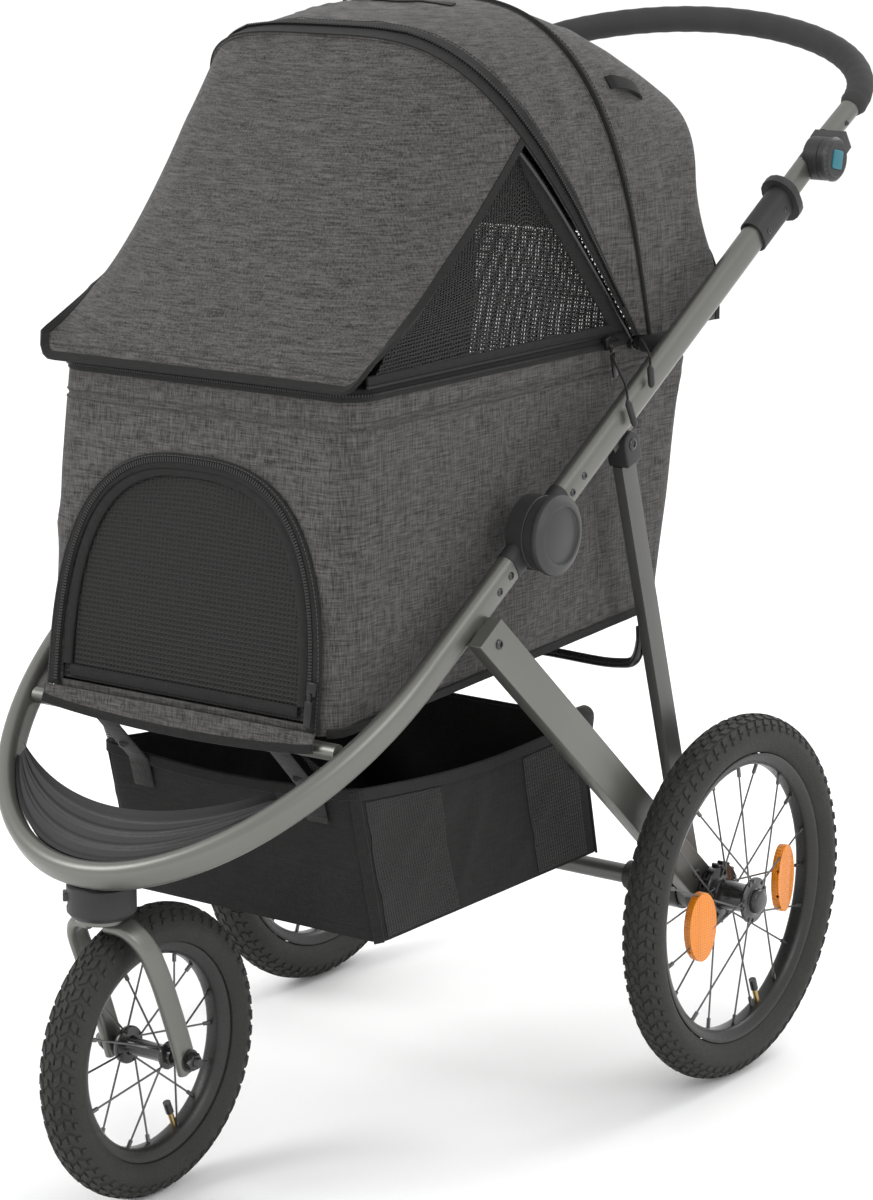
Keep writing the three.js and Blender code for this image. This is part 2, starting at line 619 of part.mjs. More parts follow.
// ---- Struts, legs, axle ----
function rearFrame() {
  const axle = new THREE.Vector3(strutX, 0, axleZ);
  const top = strutTop.clone().setX(strutX);
  const along = new THREE.Vector3().subVectors(axle, top);
  const half = STRUT_DEPTH / 2;
  const angle = Math.atan2(along.z, along.y);
  const turnYZ = (a, b, origin) => [
    origin.y + a * Math.cos(angle) - b * Math.sin(angle),
    origin.z + a * Math.sin(angle) + b * Math.cos(angle),
  ];
  const length = along.length();
  const body = plate(
    outline([
      turnYZ(-4, half, top),
      turnYZ(-15, -half, top),
      turnYZ(length - 12, -half, top),
      turnYZ(length - 12, half, top),
    ]),
    strutX - STRUT_WIDTH / 2,
    strutX + STRUT_WIDTH / 2,
  );
  const drumSpace = rod(DRUM_RADIUS + GAP, strutX - 40, strutX + 40, 0, axleZ, 32);
  pair("strut", titanium, cut(body, drumSpace));

  // A spool: an outer drum that holds the strut, a waist where the leg turns, and an inner drum.
  const waist = DRUM_RADIUS / 2 + 1;
  const legIn = legX - LEG_WIDTH / 2 - RUN;
  const legOut = legX + LEG_WIDTH / 2 + RUN;
  const outerEnd = wheelX - TYRE / 2 - 3;
  const bore = AXLE_TUBE / 2 + GAP;
  const drum = turned(
    [
      [legIn - 26, bore],
      [legIn - 26, DRUM_RADIUS - 4],
      [legIn - 22, DRUM_RADIUS - 1.5],
      [legIn, DRUM_RADIUS - 1.5],
      [legIn, waist],
      [legOut, waist],
      [legOut, DRUM_RADIUS],
      [outerEnd, DRUM_RADIUS],
      [outerEnd, bore],
      [legIn - 26, bore],
    ],
    0,
    axleZ,
    24,
  );
  pair("axle_housing", blackPlastic, drum);

  const tube = rod(AXLE_TUBE / 2, -outerEnd, outerEnd, 0, axleZ, 24);
  const spindle = rod(SPINDLE / 2, -wheelX - 19, wheelX + 19, 0, axleZ, 20);
  piece("rear_axle", titanium, join(tube, spindle));

  // Slim rear leg, from its eye on the waist to its cap under the rail.
  const foot = new THREE.Vector3(legX, 0, axleZ);
  const head = legTop.clone().setX(legX);
  const legAngle = Math.atan2(head.z - foot.z, head.y - foot.y);
  const legLength = Math.hypot(head.y - foot.y, head.z - foot.z);
  const legShape = new THREE.Shape();
  const w = LEG_DEPTH / 2;
  const place = (a, b) => [
    foot.y + a * Math.cos(legAngle) - b * Math.sin(legAngle),
    foot.z + a * Math.sin(legAngle) + b * Math.cos(legAngle),
  ];
  legShape.moveTo(...place(0, -w));
  legShape.lineTo(...place(legLength - LEG_CAP - GAP, -w));
  legShape.lineTo(...place(legLength - LEG_CAP - GAP, w));
  legShape.lineTo(...place(0, w));
  const blade = plate(legShape, legX - LEG_WIDTH / 2, legX + LEG_WIDTH / 2);
  const eye = rod(LEG_EYE, legX - LEG_WIDTH / 2, legX + LEG_WIDTH / 2, 0, axleZ, 28);
  const eyeHole = rod(waist + GAP, legX - 20, legX + 20, 0, axleZ, 28);
  pair("rear_leg", titanium, cut(join(blade, eye), eyeHole));

  const capShape = new THREE.Shape();
  capShape.moveTo(...place(legLength - LEG_CAP, -w - 1));
  capShape.lineTo(...place(legLength, -w - 1));
  capShape.absarc(head.y, head.z, w + 1, legAngle - Math.PI / 2, legAngle + Math.PI / 2, false);
  capShape.lineTo(...place(legLength - LEG_CAP, w + 1));
  pair("leg_cap", blackPlastic, plate(capShape, legX - 10, legX + 15, 8));

  // A bent tube between the legs, under the cabin's floor.
  const drop = legLength - BRACE_DROP;
  const [braceY, braceZ] = place(drop, 0);
  const [lowY, lowZ] = place(drop - 42, 12);
  const inside = legX - LEG_WIDTH / 2 - GAP;
  const r = BRACE_TUBE / 2;
  const points = [
    [inside - r, braceY, braceZ],
    [inside - r, (braceY + lowY) / 2, (braceZ + lowZ) / 2 + 6],
    [inside - r - 8, lowY, lowZ + 6],
    [inside - r - 30, lowY, lowZ],
    [0, lowY, lowZ],
  ];
  const whole = [...points, ...points.slice(0, -1).reverse().map(([x, y, z]) => [-x, y, z])];
  const bracePath = new THREE.CatmullRomCurve3(
    whole.map((p) => new THREE.Vector3(...p)),
    false,
    "centripetal",
  );
  piece("leg_brace", blackMetal, sweep(bracePath, disc(r), 20, new THREE.Vector3(0, 1, 0.2), 3));

  // Parking brake: a sleeve turning on the axle tube, with a foot pad behind it.
  const sleeve = AXLE_TUBE / 2 + GAP;
  const collar = turned(
    [
      [PEDAL_X, sleeve],
      [PEDAL_X, sleeve + PEDAL_SLEEVE],
      [PEDAL_X + PEDAL_WIDTH, sleeve + PEDAL_SLEEVE],
      [PEDAL_X + PEDAL_WIDTH, sleeve],
      [PEDAL_X, sleeve],
    ],
    0,
    axleZ,
    24,
  );
  const pedalShape = new THREE.Shape();
  pedalShape.moveTo(sleeve + 2, axleZ - 6);
  pedalShape.lineTo(44, axleZ + 18);
  pedalShape.quadraticCurveTo(66, axleZ + 24, 68, axleZ + 40);
  pedalShape.quadraticCurveTo(52, axleZ + 52, 40, axleZ + 38);
  pedalShape.lineTo(sleeve + 2, axleZ + 8);
  piece("brake_pedal", blackPlastic, join(collar, plate(pedalShape, PEDAL_X, PEDAL_X + PEDAL_WIDTH, 5)));
}

// ---- Wheels ----
// A tyre open towards the rim, the rim, and a hub with its crossed spokes, all about a line along X.
function wheel(x, y, radius, rim, hub, spokes) {
  const section = TYRE / 2;
  const middle = radius - section;
  const bead = RIM_WIDTH / 2 - 2;
  const arc = (r, from, to, steps) =>
    Array.from({ length: steps + 1 }, (_, i) => {
      const a = from + ((to - from) * i) / steps;
      return [x + r * Math.sin(a), middle + r * Math.cos(a)];
    });
  const reach = Math.PI - Math.asin(bead / section);
  const outer = arc(section, -reach, reach, 8);
  const inner = arc(section - TYRE_WALL, reach - 0.08, -reach + 0.08, 4);
  const seat = rim + GAP;
  const closed = [...outer, ...inner, outer[0]].map(([px, pr]) => [px, Math.max(pr, seat)]);
  const tyre = turned(closed, y, radius, WHEEL_SIDES);

  const half = RIM_WIDTH / 2;
  const rimInner = rim - RIM_DEPTH;
  const rimSolid = turned(
    [
      [x - half, rim],
      [x - half + 1.5, rim - 5],
      [x - half + 4, rimInner],
      [x + half - 4, rimInner],
      [x + half - 1.5, rim - 5],
      [x + half, rim],
      [x - half, rim],
    ],
    y,
    radius,
    WHEEL_SIDES,
  );

  let hubSolid = turned(hub.profile.map(([px, pr]) => [x + px, pr]), y, radius, 16);
  const wires = [];
  const spokeEnd = rimInner * Math.cos(Math.PI / WHEEL_SIDES) - 2 * GAP;
  for (let i = 0; i < spokes; i += 1) {
    const side = i % 2 ? 1 : -1;
    const rimAngle = (2 * Math.PI * i) / spokes;
    const lean = (Math.floor(i / 2) % 2 ? 1 : -1) * hub.lean;
    const flangeX = x + (side > 0 ? hub.outer : hub.inner);
    const at = (px, r, angle) => new THREE.Vector3(px, y + r * Math.cos(angle), radius + r * Math.sin(angle));
    wires.push([at(flangeX, hub.flange, rimAngle + lean), at(x, spokeEnd, rimAngle)]);
  }
  for (const [from, to] of wires) hubSolid = hubSolid.add(bar(from, to, SPOKE / 2, 3));
  return { tyre, rimSolid, hubSolid, wires };
}

function rearWheels() {
  const bore = SPINDLE / 2 + GAP;
  const hub = {
    flange: 22,
    outer: 26,
    inner: -12,
    lean: 0.5,
    profile: [
      [-24, bore],
      [-24, 28],
      [-20, 32],
      [-14, 32],
      [-10, 16],
      [24, 15],
      [24, 25],
      [27, 25],
      [28, 14],
      [34, 13],
      [36, 8],
      [36, 0],
      [21, 0],
      [21, bore],
      [-24, bore],
    ],
  };
  const made = wheel(wheelX, 0, REAR_RADIUS, REAR_RIM, hub, REAR_SPOKES);
  pair("rear_tyre", rubber, made.tyre);
  pair("rear_rim", blackMetal, made.rimSolid);
  pair("rear_hub", blackMetal, made.hubSolid);

  // Two amber reflectors clip onto the outer spokes, in front of the hub and behind it.
  const wireSpace = made.wires.map(([from, to]) => bar(from, to, SPOKE / 2 + 2 * GAP, 4));
  const around = wireSpace.reduce((whole, next) => whole.add(next));
  for (const [label, angle] of [["front", Math.PI * 1.04], ["back", 0.02]]) {
    const shape = new THREE.Shape().absellipse(0, 0, REFLECTOR_SHORT / 2, REFLECTOR_LONG / 2, 0, 2 * Math.PI, false, 0);
    const block = new THREE.ExtrudeGeometry(shape, { depth: REFLECTOR_THICK, bevelEnabled: false, curveSegments: 12 });
    const turn = new THREE.Matrix4().makeBasis(
      new THREE.Vector3(0, 1, 0),
      new THREE.Vector3(0, 0, 1),
      new THREE.Vector3(1, 0, 0),
    );
    block.applyMatrix4(turn).rotateZ((angle > 1 ? 1 : -1) * -REFLECTOR_TILT);
    const far = REFLECTOR_RADIUS;
    block.translate(wheelX + 6.5, far * Math.cos(angle), axleZ + far * Math.sin(angle));
    pair("reflector_" + label, amber, solid(block).subtract(around));
  }
}

function frontWheel() {
  const bore = 5 + GAP;
  const hub = {
    flange: 11,
    outer: 25,
    inner: -25,
    lean: 0.6,
    profile: [
      [-33, bore],
      [-33, 10],
      [-29, 19],
      [-24, 19],
      [-22, 9],
      [22, 9],
      [24, 14],
      [27, 14],
      [29, 9],
      [33, 9],
      [33, bore],
      [-33, bore],
    ],
  };
  const made = wheel(0, frontY, FRONT_RADIUS, FRONT_RIM, hub, FRONT_SPOKES);
  piece("front_tyre", rubber, made.tyre);
  piece("front_rim", blackMetal, made.rimSolid);
  piece("front_hub", blackMetal, made.hubSolid);

  const nutFace = FORK_SPAN + FORK_WIDTH / 2;
  const bolt = rod(5, -nutFace - 8, nutFace + 8, frontY, FRONT_RADIUS, 16);
  const nut = (side) => {
    const from = side > 0 ? nutFace + GAP : -nutFace - GAP - 9;
    return rod(9, from, from + 9, frontY, FRONT_RADIUS, 6);
  };
  piece("front_axle", blackMetal, join(bolt, nut(1), nut(-1)));
}

// ---- Steering ----
function steering() {
  const bottom = HEAD_BOTTOM;
  const saddle = sweep(
    new FrameArc(0, LOOP_HALF_WIDTH, -LOOP_REACH),
    oval(RAIL_DEPTH + 4 * GAP, RAIL_WIDTH + 4 * GAP),
    44,
    lift,
    2,
  );
  const headTop = onFrame(-LOOP_REACH).z + 6;
  const drum = turnedUpright(
    [
      [0, bottom],
      [HEAD_RADIUS - 4, bottom],
      [HEAD_RADIUS, bottom + 5],
      [HEAD_RADIUS, HEAD_TOP],
      [HEAD_RADIUS - 3, HEAD_TOP + 3],
      [0, HEAD_TOP + 3],
    ],
    steerY,
    40,
  );
  const neck = plate(
    outline([
      [steerY - 30, HEAD_TOP - 4],
      [steerY + 26, HEAD_TOP - 4],
      [steerY + 16, headTop + 14],
      [steerY - 22, headTop - 6],
    ]),
    -16,
    16,
  );
  const bearing = turnedUpright(
    [
      [0, bottom - 5],
      [9 + GAP, bottom - 5],
      [9 + GAP, HEAD_TOP - 6],
      [0, HEAD_TOP - 6],
    ],
    steerY,
    24,
  );
  const lockSlot = new THREE.BoxGeometry(16.8, 12, 15).translate(0, steerY - HEAD_RADIUS + 4, HEAD_TOP - 14);
  const placeLock = (geometry) => {
    geometry.translate(0, -steerY, 0).rotateZ(THREE.MathUtils.degToRad(-48)).translate(0, steerY, 0);
    return solid(geometry);
  };
  const slot = placeLock(lockSlot);
  piece("steering_housing", blackPlastic, cut(join(drum, neck), saddle, bearing, slot));

  const tab = new THREE.BoxGeometry(16, 13, 8).translate(0, steerY - HEAD_RADIUS + 3.2, HEAD_TOP - 11);
  piece("swivel_lock", blackPlastic, placeLock(tab));

  // Fork: a steerer, a crown over the wheel, and two legs that bow out and run straight to the axle.
  const crownTop = bottom - RUN;
  const steerer = turnedUpright(
    [
      [0, crownTop - 5],
      [26, crownTop - 5],
      [26, crownTop],
      [9, crownTop],
      [9, HEAD_TOP - 7],
      [0, HEAD_TOP - 7],
    ],
    steerY,
    32,
  );
  const legPath = new THREE.CatmullRomCurve3(
    [
      new THREE.Vector3(8, steerY, crownTop - 6),
      new THREE.Vector3(30, steerY + 2, crownTop - 8),
      new THREE.Vector3(44, steerY + 12, crownTop - 24),
      new THREE.Vector3(FORK_SPAN, steerY + 26, crownTop - 56),
      new THREE.Vector3(FORK_SPAN, frontY - 4, FRONT_RADIUS + 12),
      new THREE.Vector3(FORK_SPAN, frontY + 3, FRONT_RADIUS - 10),
    ],
    false,
    "centripetal",
  );
  const leg = sweep(legPath, oval(FORK_DEPTH, FORK_WIDTH), 10, new THREE.Vector3(0, 0.92, 0.38), 2);
  const otherLeg = solid(geometryOf(leg).scale(-1, 1, 1));
  const axleHole = rod(5 + GAP, -80, 80, frontY, FRONT_RADIUS, 16);
  const hubSpace = rod(22, -33.6, 33.6, frontY, FRONT_RADIUS, 24);
  const housingSpace = turnedUpright(
    [
      [0, crownTop],
      [60, crownTop],
      [60, crownTop + 30],
      [0, crownTop + 30],
    ],
    steerY,
    24,
  );
  piece("fork", titanium, join(steerer, cut(join(leg, otherLeg), axleHole, hubSpace, housingSpace)));
}

// ---- Soft parts ----
function archShape(halfWidth, height, base, power) {
  const points = [];
  const steps = 20;
  for (let i = 0; i <= steps; i += 1) {
    const angle = (Math.PI * i) / steps;
    const side = Math.cos(angle);
    points.push([
      Math.sign(side) * Math.abs(side) ** power * halfWidth,
      base + Math.sin(angle) ** power * height,
    ]);
  }
  return outline(points);
}

// A point this far along the line from one point to another.
function stepToward([y, z], [endY, endZ], distance) {
  const share = distance / Math.hypot(endY - y, endZ - z);
  return [y + (endY - y) * share, z + (endZ - z) * share];
}

// The point of a wall this far above its foot.
function upWall([y, z], [topY, topZ], rise) {
  return [y + ((topY - y) * rise) / (topZ - z), z + rise];
}

function cabin() {
  const side = (inset, over) => [
    [CABIN_FRONT + inset, CABIN_FLOOR_FRONT + inset],
    [CABIN_BACK - CABIN_TUCK[0] - inset, CABIN_FLOOR_REAR + inset],
    [CABIN_BACK - CABIN_TUCK[1] - inset, CABIN_TUCK[2]],
    [CABIN_BACK - inset, CABIN_TOP + over],
    [CABIN_FRONT + CABIN_LEAN + inset, CABIN_TOP + over],
  ];
  const shell = plate(outline(side(0, 0)), -CABIN_HALF_WIDTH, CABIN_HALF_WIDTH);
  const [foot, ...others] = side(CLOTH, 9);
  const matFoot = stepToward(foot, others[0], MAT_EDGE);
  const wallFoot = upWall(foot, others[3], MAT_RISE);
  const room = plate(outline([matFoot, ...others, wallFoot]), CLOTH - CABIN_HALF_WIDTH, CABIN_HALF_WIDTH - CLOTH);
  const frontAxes = new THREE.Matrix4().makeBasis(
    new THREE.Vector3(1, 0, 0),
    new THREE.Vector3(0, CABIN_LEAN, CABIN_TOP - CABIN_FLOOR_FRONT).normalize(),
    new THREE.Vector3(0, -(CABIN_TOP - CABIN_FLOOR_FRONT), CABIN_LEAN).normalize(),
  );
  const onFront = (shape, depth, offset) => {
    const geometry = new THREE.ExtrudeGeometry(shape, { depth, bevelEnabled: false, curveSegments: 8 });
    geometry.translate(0, 0, offset).applyMatrix4(frontAxes);
    return solid(geometry.translate(0, CABIN_FRONT, CABIN_FLOOR_FRONT));
  };
  const opening = onFront(archShape(DOOR_HALF_WIDTH + GAP, DOOR_HEIGHT + GAP, DOOR_SILL - GAP, 0.72), 40, -20);
  piece("cabin", charcoal, cut(shell, room, opening));
  piece("front_door", mesh, onFront(archShape(DOOR_HALF_WIDTH, DOOR_HEIGHT, DOOR_SILL, 0.72), CLOTH - 1, -CLOTH + 0.5));
}

// A wire arch with an eye at each foot, round the canopy's pivot pin.
function archWire(angle, halfWidth, height, power) {
  const foot = new THREE.Vector3(0, canopyPivot.y, canopyPivot.z);
  const across = new THREE.Vector3(0, Math.sin(angle), -Math.cos(angle));
  const wire = sweep(new Arch(foot, angle, halfWidth, height, power), disc(HOOP_TUBE / 2), 24, across, 2);
  const r = HOOP_TUBE / 2;
  const eyes = [-halfWidth, halfWidth].map((x) => rod(8, x - r, x + r, canopyPivot.y, canopyPivot.z, 20));
  const holes = rod(PIVOT_PIN + GAP, -260, 260, canopyPivot.y, canopyPivot.z, 16);
  return cut(join(wire, ...eyes), holes);
}

function canopy() {
  piece("canopy_hoop", blackMetal, archWire(HOOP_ANGLE, HOOP_HALF_WIDTH, HOOP_HEIGHT, 0.66));
  piece("canopy_bow", blackMetal, archWire(BOW_ANGLE, BOW_HALF_WIDTH, BOW_HEIGHT, 0.5));

  // Roof cloth: from the bow back over the hoop, then down to the straight back edge.
  const base = CABIN_TOP + GAP;
  const clear = HOOP_TUBE / 2 + GAP + CLOTH + FOLD_EASE;
  const ribs = [
    { y: canopyPivot.y - 14, angle: BOW_ANGLE - 0.02, half: BOW_HALF_WIDTH + clear, height: BOW_HEIGHT + clear, power: 0.5 },
    { y: canopyPivot.y, angle: HOOP_ANGLE, half: HOOP_HALF_WIDTH + clear, height: HOOP_HEIGHT + clear, power: 0.66 },
    { y: canopyPivot.y + 50, angle: 1.25, half: HOOP_HALF_WIDTH + clear, height: 262, power: 0.5 },
    { y: BACK_PANEL_Y - 4, angle: Math.PI / 2, half: HOOP_HALF_WIDTH + clear, height: BACK_PANEL_Z - base, power: 0.35 },
  ];
  const blendRibs = (s) => {
    const place = s * (ribs.length - 1);
    const i = Math.min(Math.floor(place), ribs.length - 2);
    const mix = (key) => THREE.MathUtils.lerp(ribs[i][key], ribs[i + 1][key], place - i);
    return { y: mix("y"), angle: mix("angle"), half: mix("half"), height: mix("height"), power: mix("power") };
  };
  const roof = (s, t) => {
    const rib = blendRibs(s);
    const turn = Math.PI * t;
    const side = Math.cos(turn);
    const out = Math.sign(side) * Math.abs(side) ** rib.power * rib.half;
    const up = Math.sin(turn) ** rib.power * rib.height;
    return new THREE.Vector3(out, rib.y + up * Math.cos(rib.angle), base + up * Math.sin(rib.angle));
  };
  const eyeSpace = rod(12, -railX(CANOPY_U), railX(CANOPY_U), canopyPivot.y, canopyPivot.z, 20);
  piece("canopy_roof", charcoal, cut(cloth(roof, 9, 16, -CLOTH), eyeSpace));

  // Shade cloth: from the bow down to the hem over the cabin's front edge.
  const shade = (s, t) => {
    const bow = new Arch(
      new THREE.Vector3(0, canopyPivot.y - 22, canopyPivot.z),
      BOW_ANGLE + 0.02,
      BOW_HALF_WIDTH + clear,
      BOW_HEIGHT + clear,
      0.5,
    ).getPoint(0.155 + 0.69 * t);
    const hem = new THREE.Vector3(
      THREE.MathUtils.lerp(BOW_HALF_WIDTH + clear, -BOW_HALF_WIDTH - clear, t),
      SHADE_FRONT,
      SHADE_HEM,
    );
    const bulge = 14 * Math.sin(Math.PI * s);
    return bow.lerp(hem, s).add(new THREE.Vector3(0, -0.74 * bulge, 0.67 * bulge));
  };
  piece("canopy_shade", charcoal, cloth(shade, 5, 12, CLOTH));

  // Side windows: mesh between the shade's edge, the bow and the cabin's zipped top.
  const foot = [canopyPivot.y - 30, CABIN_TOP + GAP];
  const corner = new Arch(new THREE.Vector3(0, foot[0], canopyPivot.z), BOW_ANGLE, BOW_HALF_WIDTH, BOW_HEIGHT, 0.5).getPoint(0.13);
  const windowShape = outline([foot, [SHADE_FRONT + 16, CABIN_TOP + GAP], [corner.y - 8, corner.z]]);
  const outerFace = BOW_HALF_WIDTH - HOOP_TUBE / 2 - 3;
  pair("side_window", mesh, plate(windowShape, outerFace - 3, outerFace));
}

function basket() {
  const { frontTop, frontBottom, rearBottom, rearTop } = BASKET;
  const shell = plate(outline([frontTop, frontBottom, rearBottom, rearTop]), -BASKET_HALF_WIDTH, BASKET_HALF_WIDTH);
  const inside = (point, dy, dz) => [point[0] + dy, point[1] + dz];
  const rise = 40;
  const foot = inside(rearBottom, -CLOTH, CLOTH);
  const frontFoot = inside(frontBottom, CLOTH, CLOTH);
  const top = inside(rearTop, -CLOTH - 12, rise);
  const room = plate(
    outline([
      inside(frontTop, CLOTH - 10, rise),
      frontFoot,
      stepToward(foot, frontFoot, MAT_EDGE),
      upWall(foot, top, MAT_RISE),
      top,
    ]),
    CLOTH - BASKET_HALF_WIDTH,
    BASKET_HALF_WIDTH - CLOTH,
  );
  // Two webbing straps hang the front edge from the crossbar.
  const strapTop = CROSSBAR_Z - CROSSBAR / 2 - GAP;
  const strap = (x) => {
    const [y, z] = frontTop;
    const shape = outline([
      [y, z - STRAP_WIDTH],
      [y + STRAP_THICK, z - STRAP_WIDTH],
      [y + STRAP_THICK, z + STRAP_THICK],
      [CROSSBAR_Y + CROSSBAR / 2, strapTop],
      [CROSSBAR_Y, strapTop],
      [y, z],
    ]);
    return plate(shape, x - STRAP_WIDTH / 2, x + STRAP_WIDTH / 2);
  };
  piece("basket", softBlack, join(cut(shell, room), strap(-STRAP_X), strap(STRAP_X)));
}

frontFrame();
footrestTray();
rails();
foldHinge();
releaseCollar();
tiltJoint();
handlebar();
rearFrame();
rearWheels();
frontWheel();
steering();
cabin();
canopy();
basket();

// The part's origin is the middle of its footprint, on the ground.
const box = new THREE.Box3().setFromObject(stroller);
stroller.position.set(0, -(box.min.y + box.max.y) / 2, -box.min.z);

export default stroller;
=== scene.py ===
import math

import bmesh
import bpy
import numpy as np
from mathutils import Matrix, Vector, noise


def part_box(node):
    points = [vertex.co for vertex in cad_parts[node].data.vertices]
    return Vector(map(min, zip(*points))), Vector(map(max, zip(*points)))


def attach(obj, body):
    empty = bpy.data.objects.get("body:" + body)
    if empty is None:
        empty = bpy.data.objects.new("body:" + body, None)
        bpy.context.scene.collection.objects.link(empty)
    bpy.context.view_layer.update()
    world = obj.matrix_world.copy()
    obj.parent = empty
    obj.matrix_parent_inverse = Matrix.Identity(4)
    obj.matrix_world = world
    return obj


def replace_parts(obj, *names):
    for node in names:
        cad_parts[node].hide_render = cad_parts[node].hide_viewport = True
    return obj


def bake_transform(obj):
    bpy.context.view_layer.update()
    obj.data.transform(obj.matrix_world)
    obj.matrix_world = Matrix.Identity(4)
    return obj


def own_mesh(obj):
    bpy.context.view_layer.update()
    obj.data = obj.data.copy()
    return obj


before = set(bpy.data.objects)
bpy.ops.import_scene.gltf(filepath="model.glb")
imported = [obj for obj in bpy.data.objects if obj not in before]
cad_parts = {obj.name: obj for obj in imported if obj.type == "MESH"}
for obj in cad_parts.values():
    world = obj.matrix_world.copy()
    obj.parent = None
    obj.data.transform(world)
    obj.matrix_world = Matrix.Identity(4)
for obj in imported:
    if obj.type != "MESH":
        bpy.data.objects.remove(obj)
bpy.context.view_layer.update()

sides = (("left", 1), ("right", -1))

# ---- Studio ----
# A pale floor that runs out of sight, a white room and three soft lamps.
# The camera stands off the front left corner, a little above the handle.
scene = bpy.context.scene
axle = sum(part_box("rear_axle"), Vector()) / 2
camera_turn, camera_rise = math.radians(36.2305), math.radians(12.7851)
toward_camera = Vector((
    math.sin(camera_turn) * math.cos(camera_rise),
    -math.cos(camera_turn) * math.cos(camera_rise),
    math.sin(camera_rise),
))
camera = bpy.data.objects.new("camera", bpy.data.cameras.new("camera"))
camera.data.lens = 108.4
camera.data.clip_end = 200
camera.location = (2.2298, axle.y - 3.1972, 1.3729)
camera.rotation_mode = "QUATERNION"
camera.rotation_quaternion = toward_camera.to_track_quat("Z", "Y")
scene.collection.objects.link(camera)
scene.camera = camera

world = bpy.data.worlds.new("white_room")
world.use_nodes = True
world.node_tree.nodes["Background"].inputs["Color"].default_value = (1, 1, 1, 1)
world.node_tree.nodes["Background"].inputs["Strength"].default_value = 1.08
scene.world = world
scene.view_settings.view_transform = "Standard"
for name, place, size, power in (
    ("lamp_front", (-2.4, -3.4, 3.4), 2.4, 110),
    ("lamp_side", (3.6, -0.6, 2.6), 2.2, 40),
    ("lamp_back", (0.6, 3.4, 3.2), 2.0, 60),
):
    lamp = bpy.data.objects.new(name, bpy.data.lights.new(name, "AREA"))
    lamp.data.size = size
    lamp.data.energy = power
    lamp.location = place
    lamp.rotation_mode = "QUATERNION"
    lamp.rotation_quaternion = (Vector(place) - Vector((0, 0, 0.6))).to_track_quat("Z", "Y")
    scene.collection.objects.link(lamp)

floor_mesh = bpy.data.meshes.new("floor")
floor_reach = 60
floor_mesh.from_pydata(
    [(-floor_reach, -floor_reach, 0), (floor_reach, -floor_reach, 0),
     (floor_reach, floor_reach, 0), (-floor_reach, floor_reach, 0)], [], [(0, 1, 2, 3)])
floor = bpy.data.objects.new("floor", floor_mesh)
scene.collection.objects.link(floor)
floor_paint = bpy.data.materials.new("floor_paint")
floor_paint.use_nodes = True
floor_shader = floor_paint.node_tree.nodes["Principled BSDF"]
floor_shader.inputs["Base Color"].default_value = (0.96, 0.96, 0.96, 1)
floor_shader.inputs["Roughness"].default_value = 0.7
floor_mesh.materials.append(floor_paint)

# ---- Front loop and crossbar ----
# One length of flat-oval tube, bent round the front and run back to the two hinges.
# It is painted a satin metallic grey. A straight round bar joins its sides under the cabin.
rail_slope = math.atan(0.674)
up_slope = Vector((0, math.cos(rail_slope), math.sin(rail_slope)))
off_plane = Vector((0, -math.sin(rail_slope), math.cos(rail_slope)))
loop_middle = Vector((0, axle.y - 0.468, 0.5348))
loop_half_width, loop_reach, rail_splay = 0.225, 0.320, 0.0332
rail_depth, rail_width = 0.032, 0.020
hinge_u, hinge_radius, hinge_sleeve = 0.1966, 0.038, 0.004


def on_frame(u, n=0.0, x=0.0):
    return loop_middle + up_slope * u + off_plane * n + Vector((x, 0, 0))


def rail_x(u):
    return loop_half_width + rail_splay * u


def mesh_piece(name, points, faces, sharp=40):
    mesh = bpy.data.meshes.new(name)
    mesh.from_pydata([tuple(p) for p in points], [], faces)
    work = bmesh.new()
    work.from_mesh(mesh)
    bmesh.ops.remove_doubles(work, verts=work.verts, dist=2e-6)
    bmesh.ops.recalc_face_normals(work, faces=work.faces)
    work.to_mesh(mesh)
    work.free()
    mesh.shade_smooth()
    mesh.set_sharp_from_angle(angle=math.radians(sharp))
    piece = bpy.data.objects.new(name, mesh)
    scene.collection.objects.link(piece)
    return piece


def loft(name, rings, ends="capped", sharp=40):
    around = len(rings[0])
    points = [p for ring in rings for p in ring]
    faces = []
    for i in range(len(rings) if ends == "joined" else len(rings) - 1):
        a, b = i * around, (i + 1) % len(rings) * around
        faces += [(a + j, a + (j + 1) % around, b + (j + 1) % around, b + j) for j in range(around)]
    if ends == "capped":
        faces += [tuple(reversed(range(around))), tuple(range(len(points) - around, len(points)))]
    return mesh_piece(name, points, faces, sharp)


def oval(long, short, steps=9):
    radius, straight = short / 2, (long - short) / 2
    turns = [math.pi * (i / steps - 0.5) for i in range(steps + 1)]
    return ([(straight + radius * math.cos(t), radius * math.sin(t)) for t in turns]
            + [(-straight - radius * math.cos(t), -radius * math.sin(t)) for t in turns])


def circle(radius, steps=24):
    turns = [2 * math.pi * i / steps for i in range(steps)]
    return [(radius * math.cos(t), radius * math.sin(t)) for t in turns]


def sweep(name, path, section, across, ends="capped", sharp=40):
    rings = []
    for i, place in enumerate(path):
        along = (path[min(i + 1, len(path) - 1)] - path[max(i - 1, 0)]).normalized()
        side = along.cross(across).normalized()
        up = side.cross(along)
        shape = section(i / (len(path) - 1)) if callable(section) else section
        rings.append([place + up * a + side * b for a, b in shape])
    return loft(name, rings, ends, sharp)


def between(start, end, steps):
    return [start.lerp(end, i / steps) for i in range(steps + 1)]


def bend(middle_u, half_width, reach, steps=72):
    turns = [math.pi * i / steps for i in range(steps + 1)]
    return [on_frame(middle_u + reach * math.sin(t), 0, half_width * math.cos(t)) for t in turns]


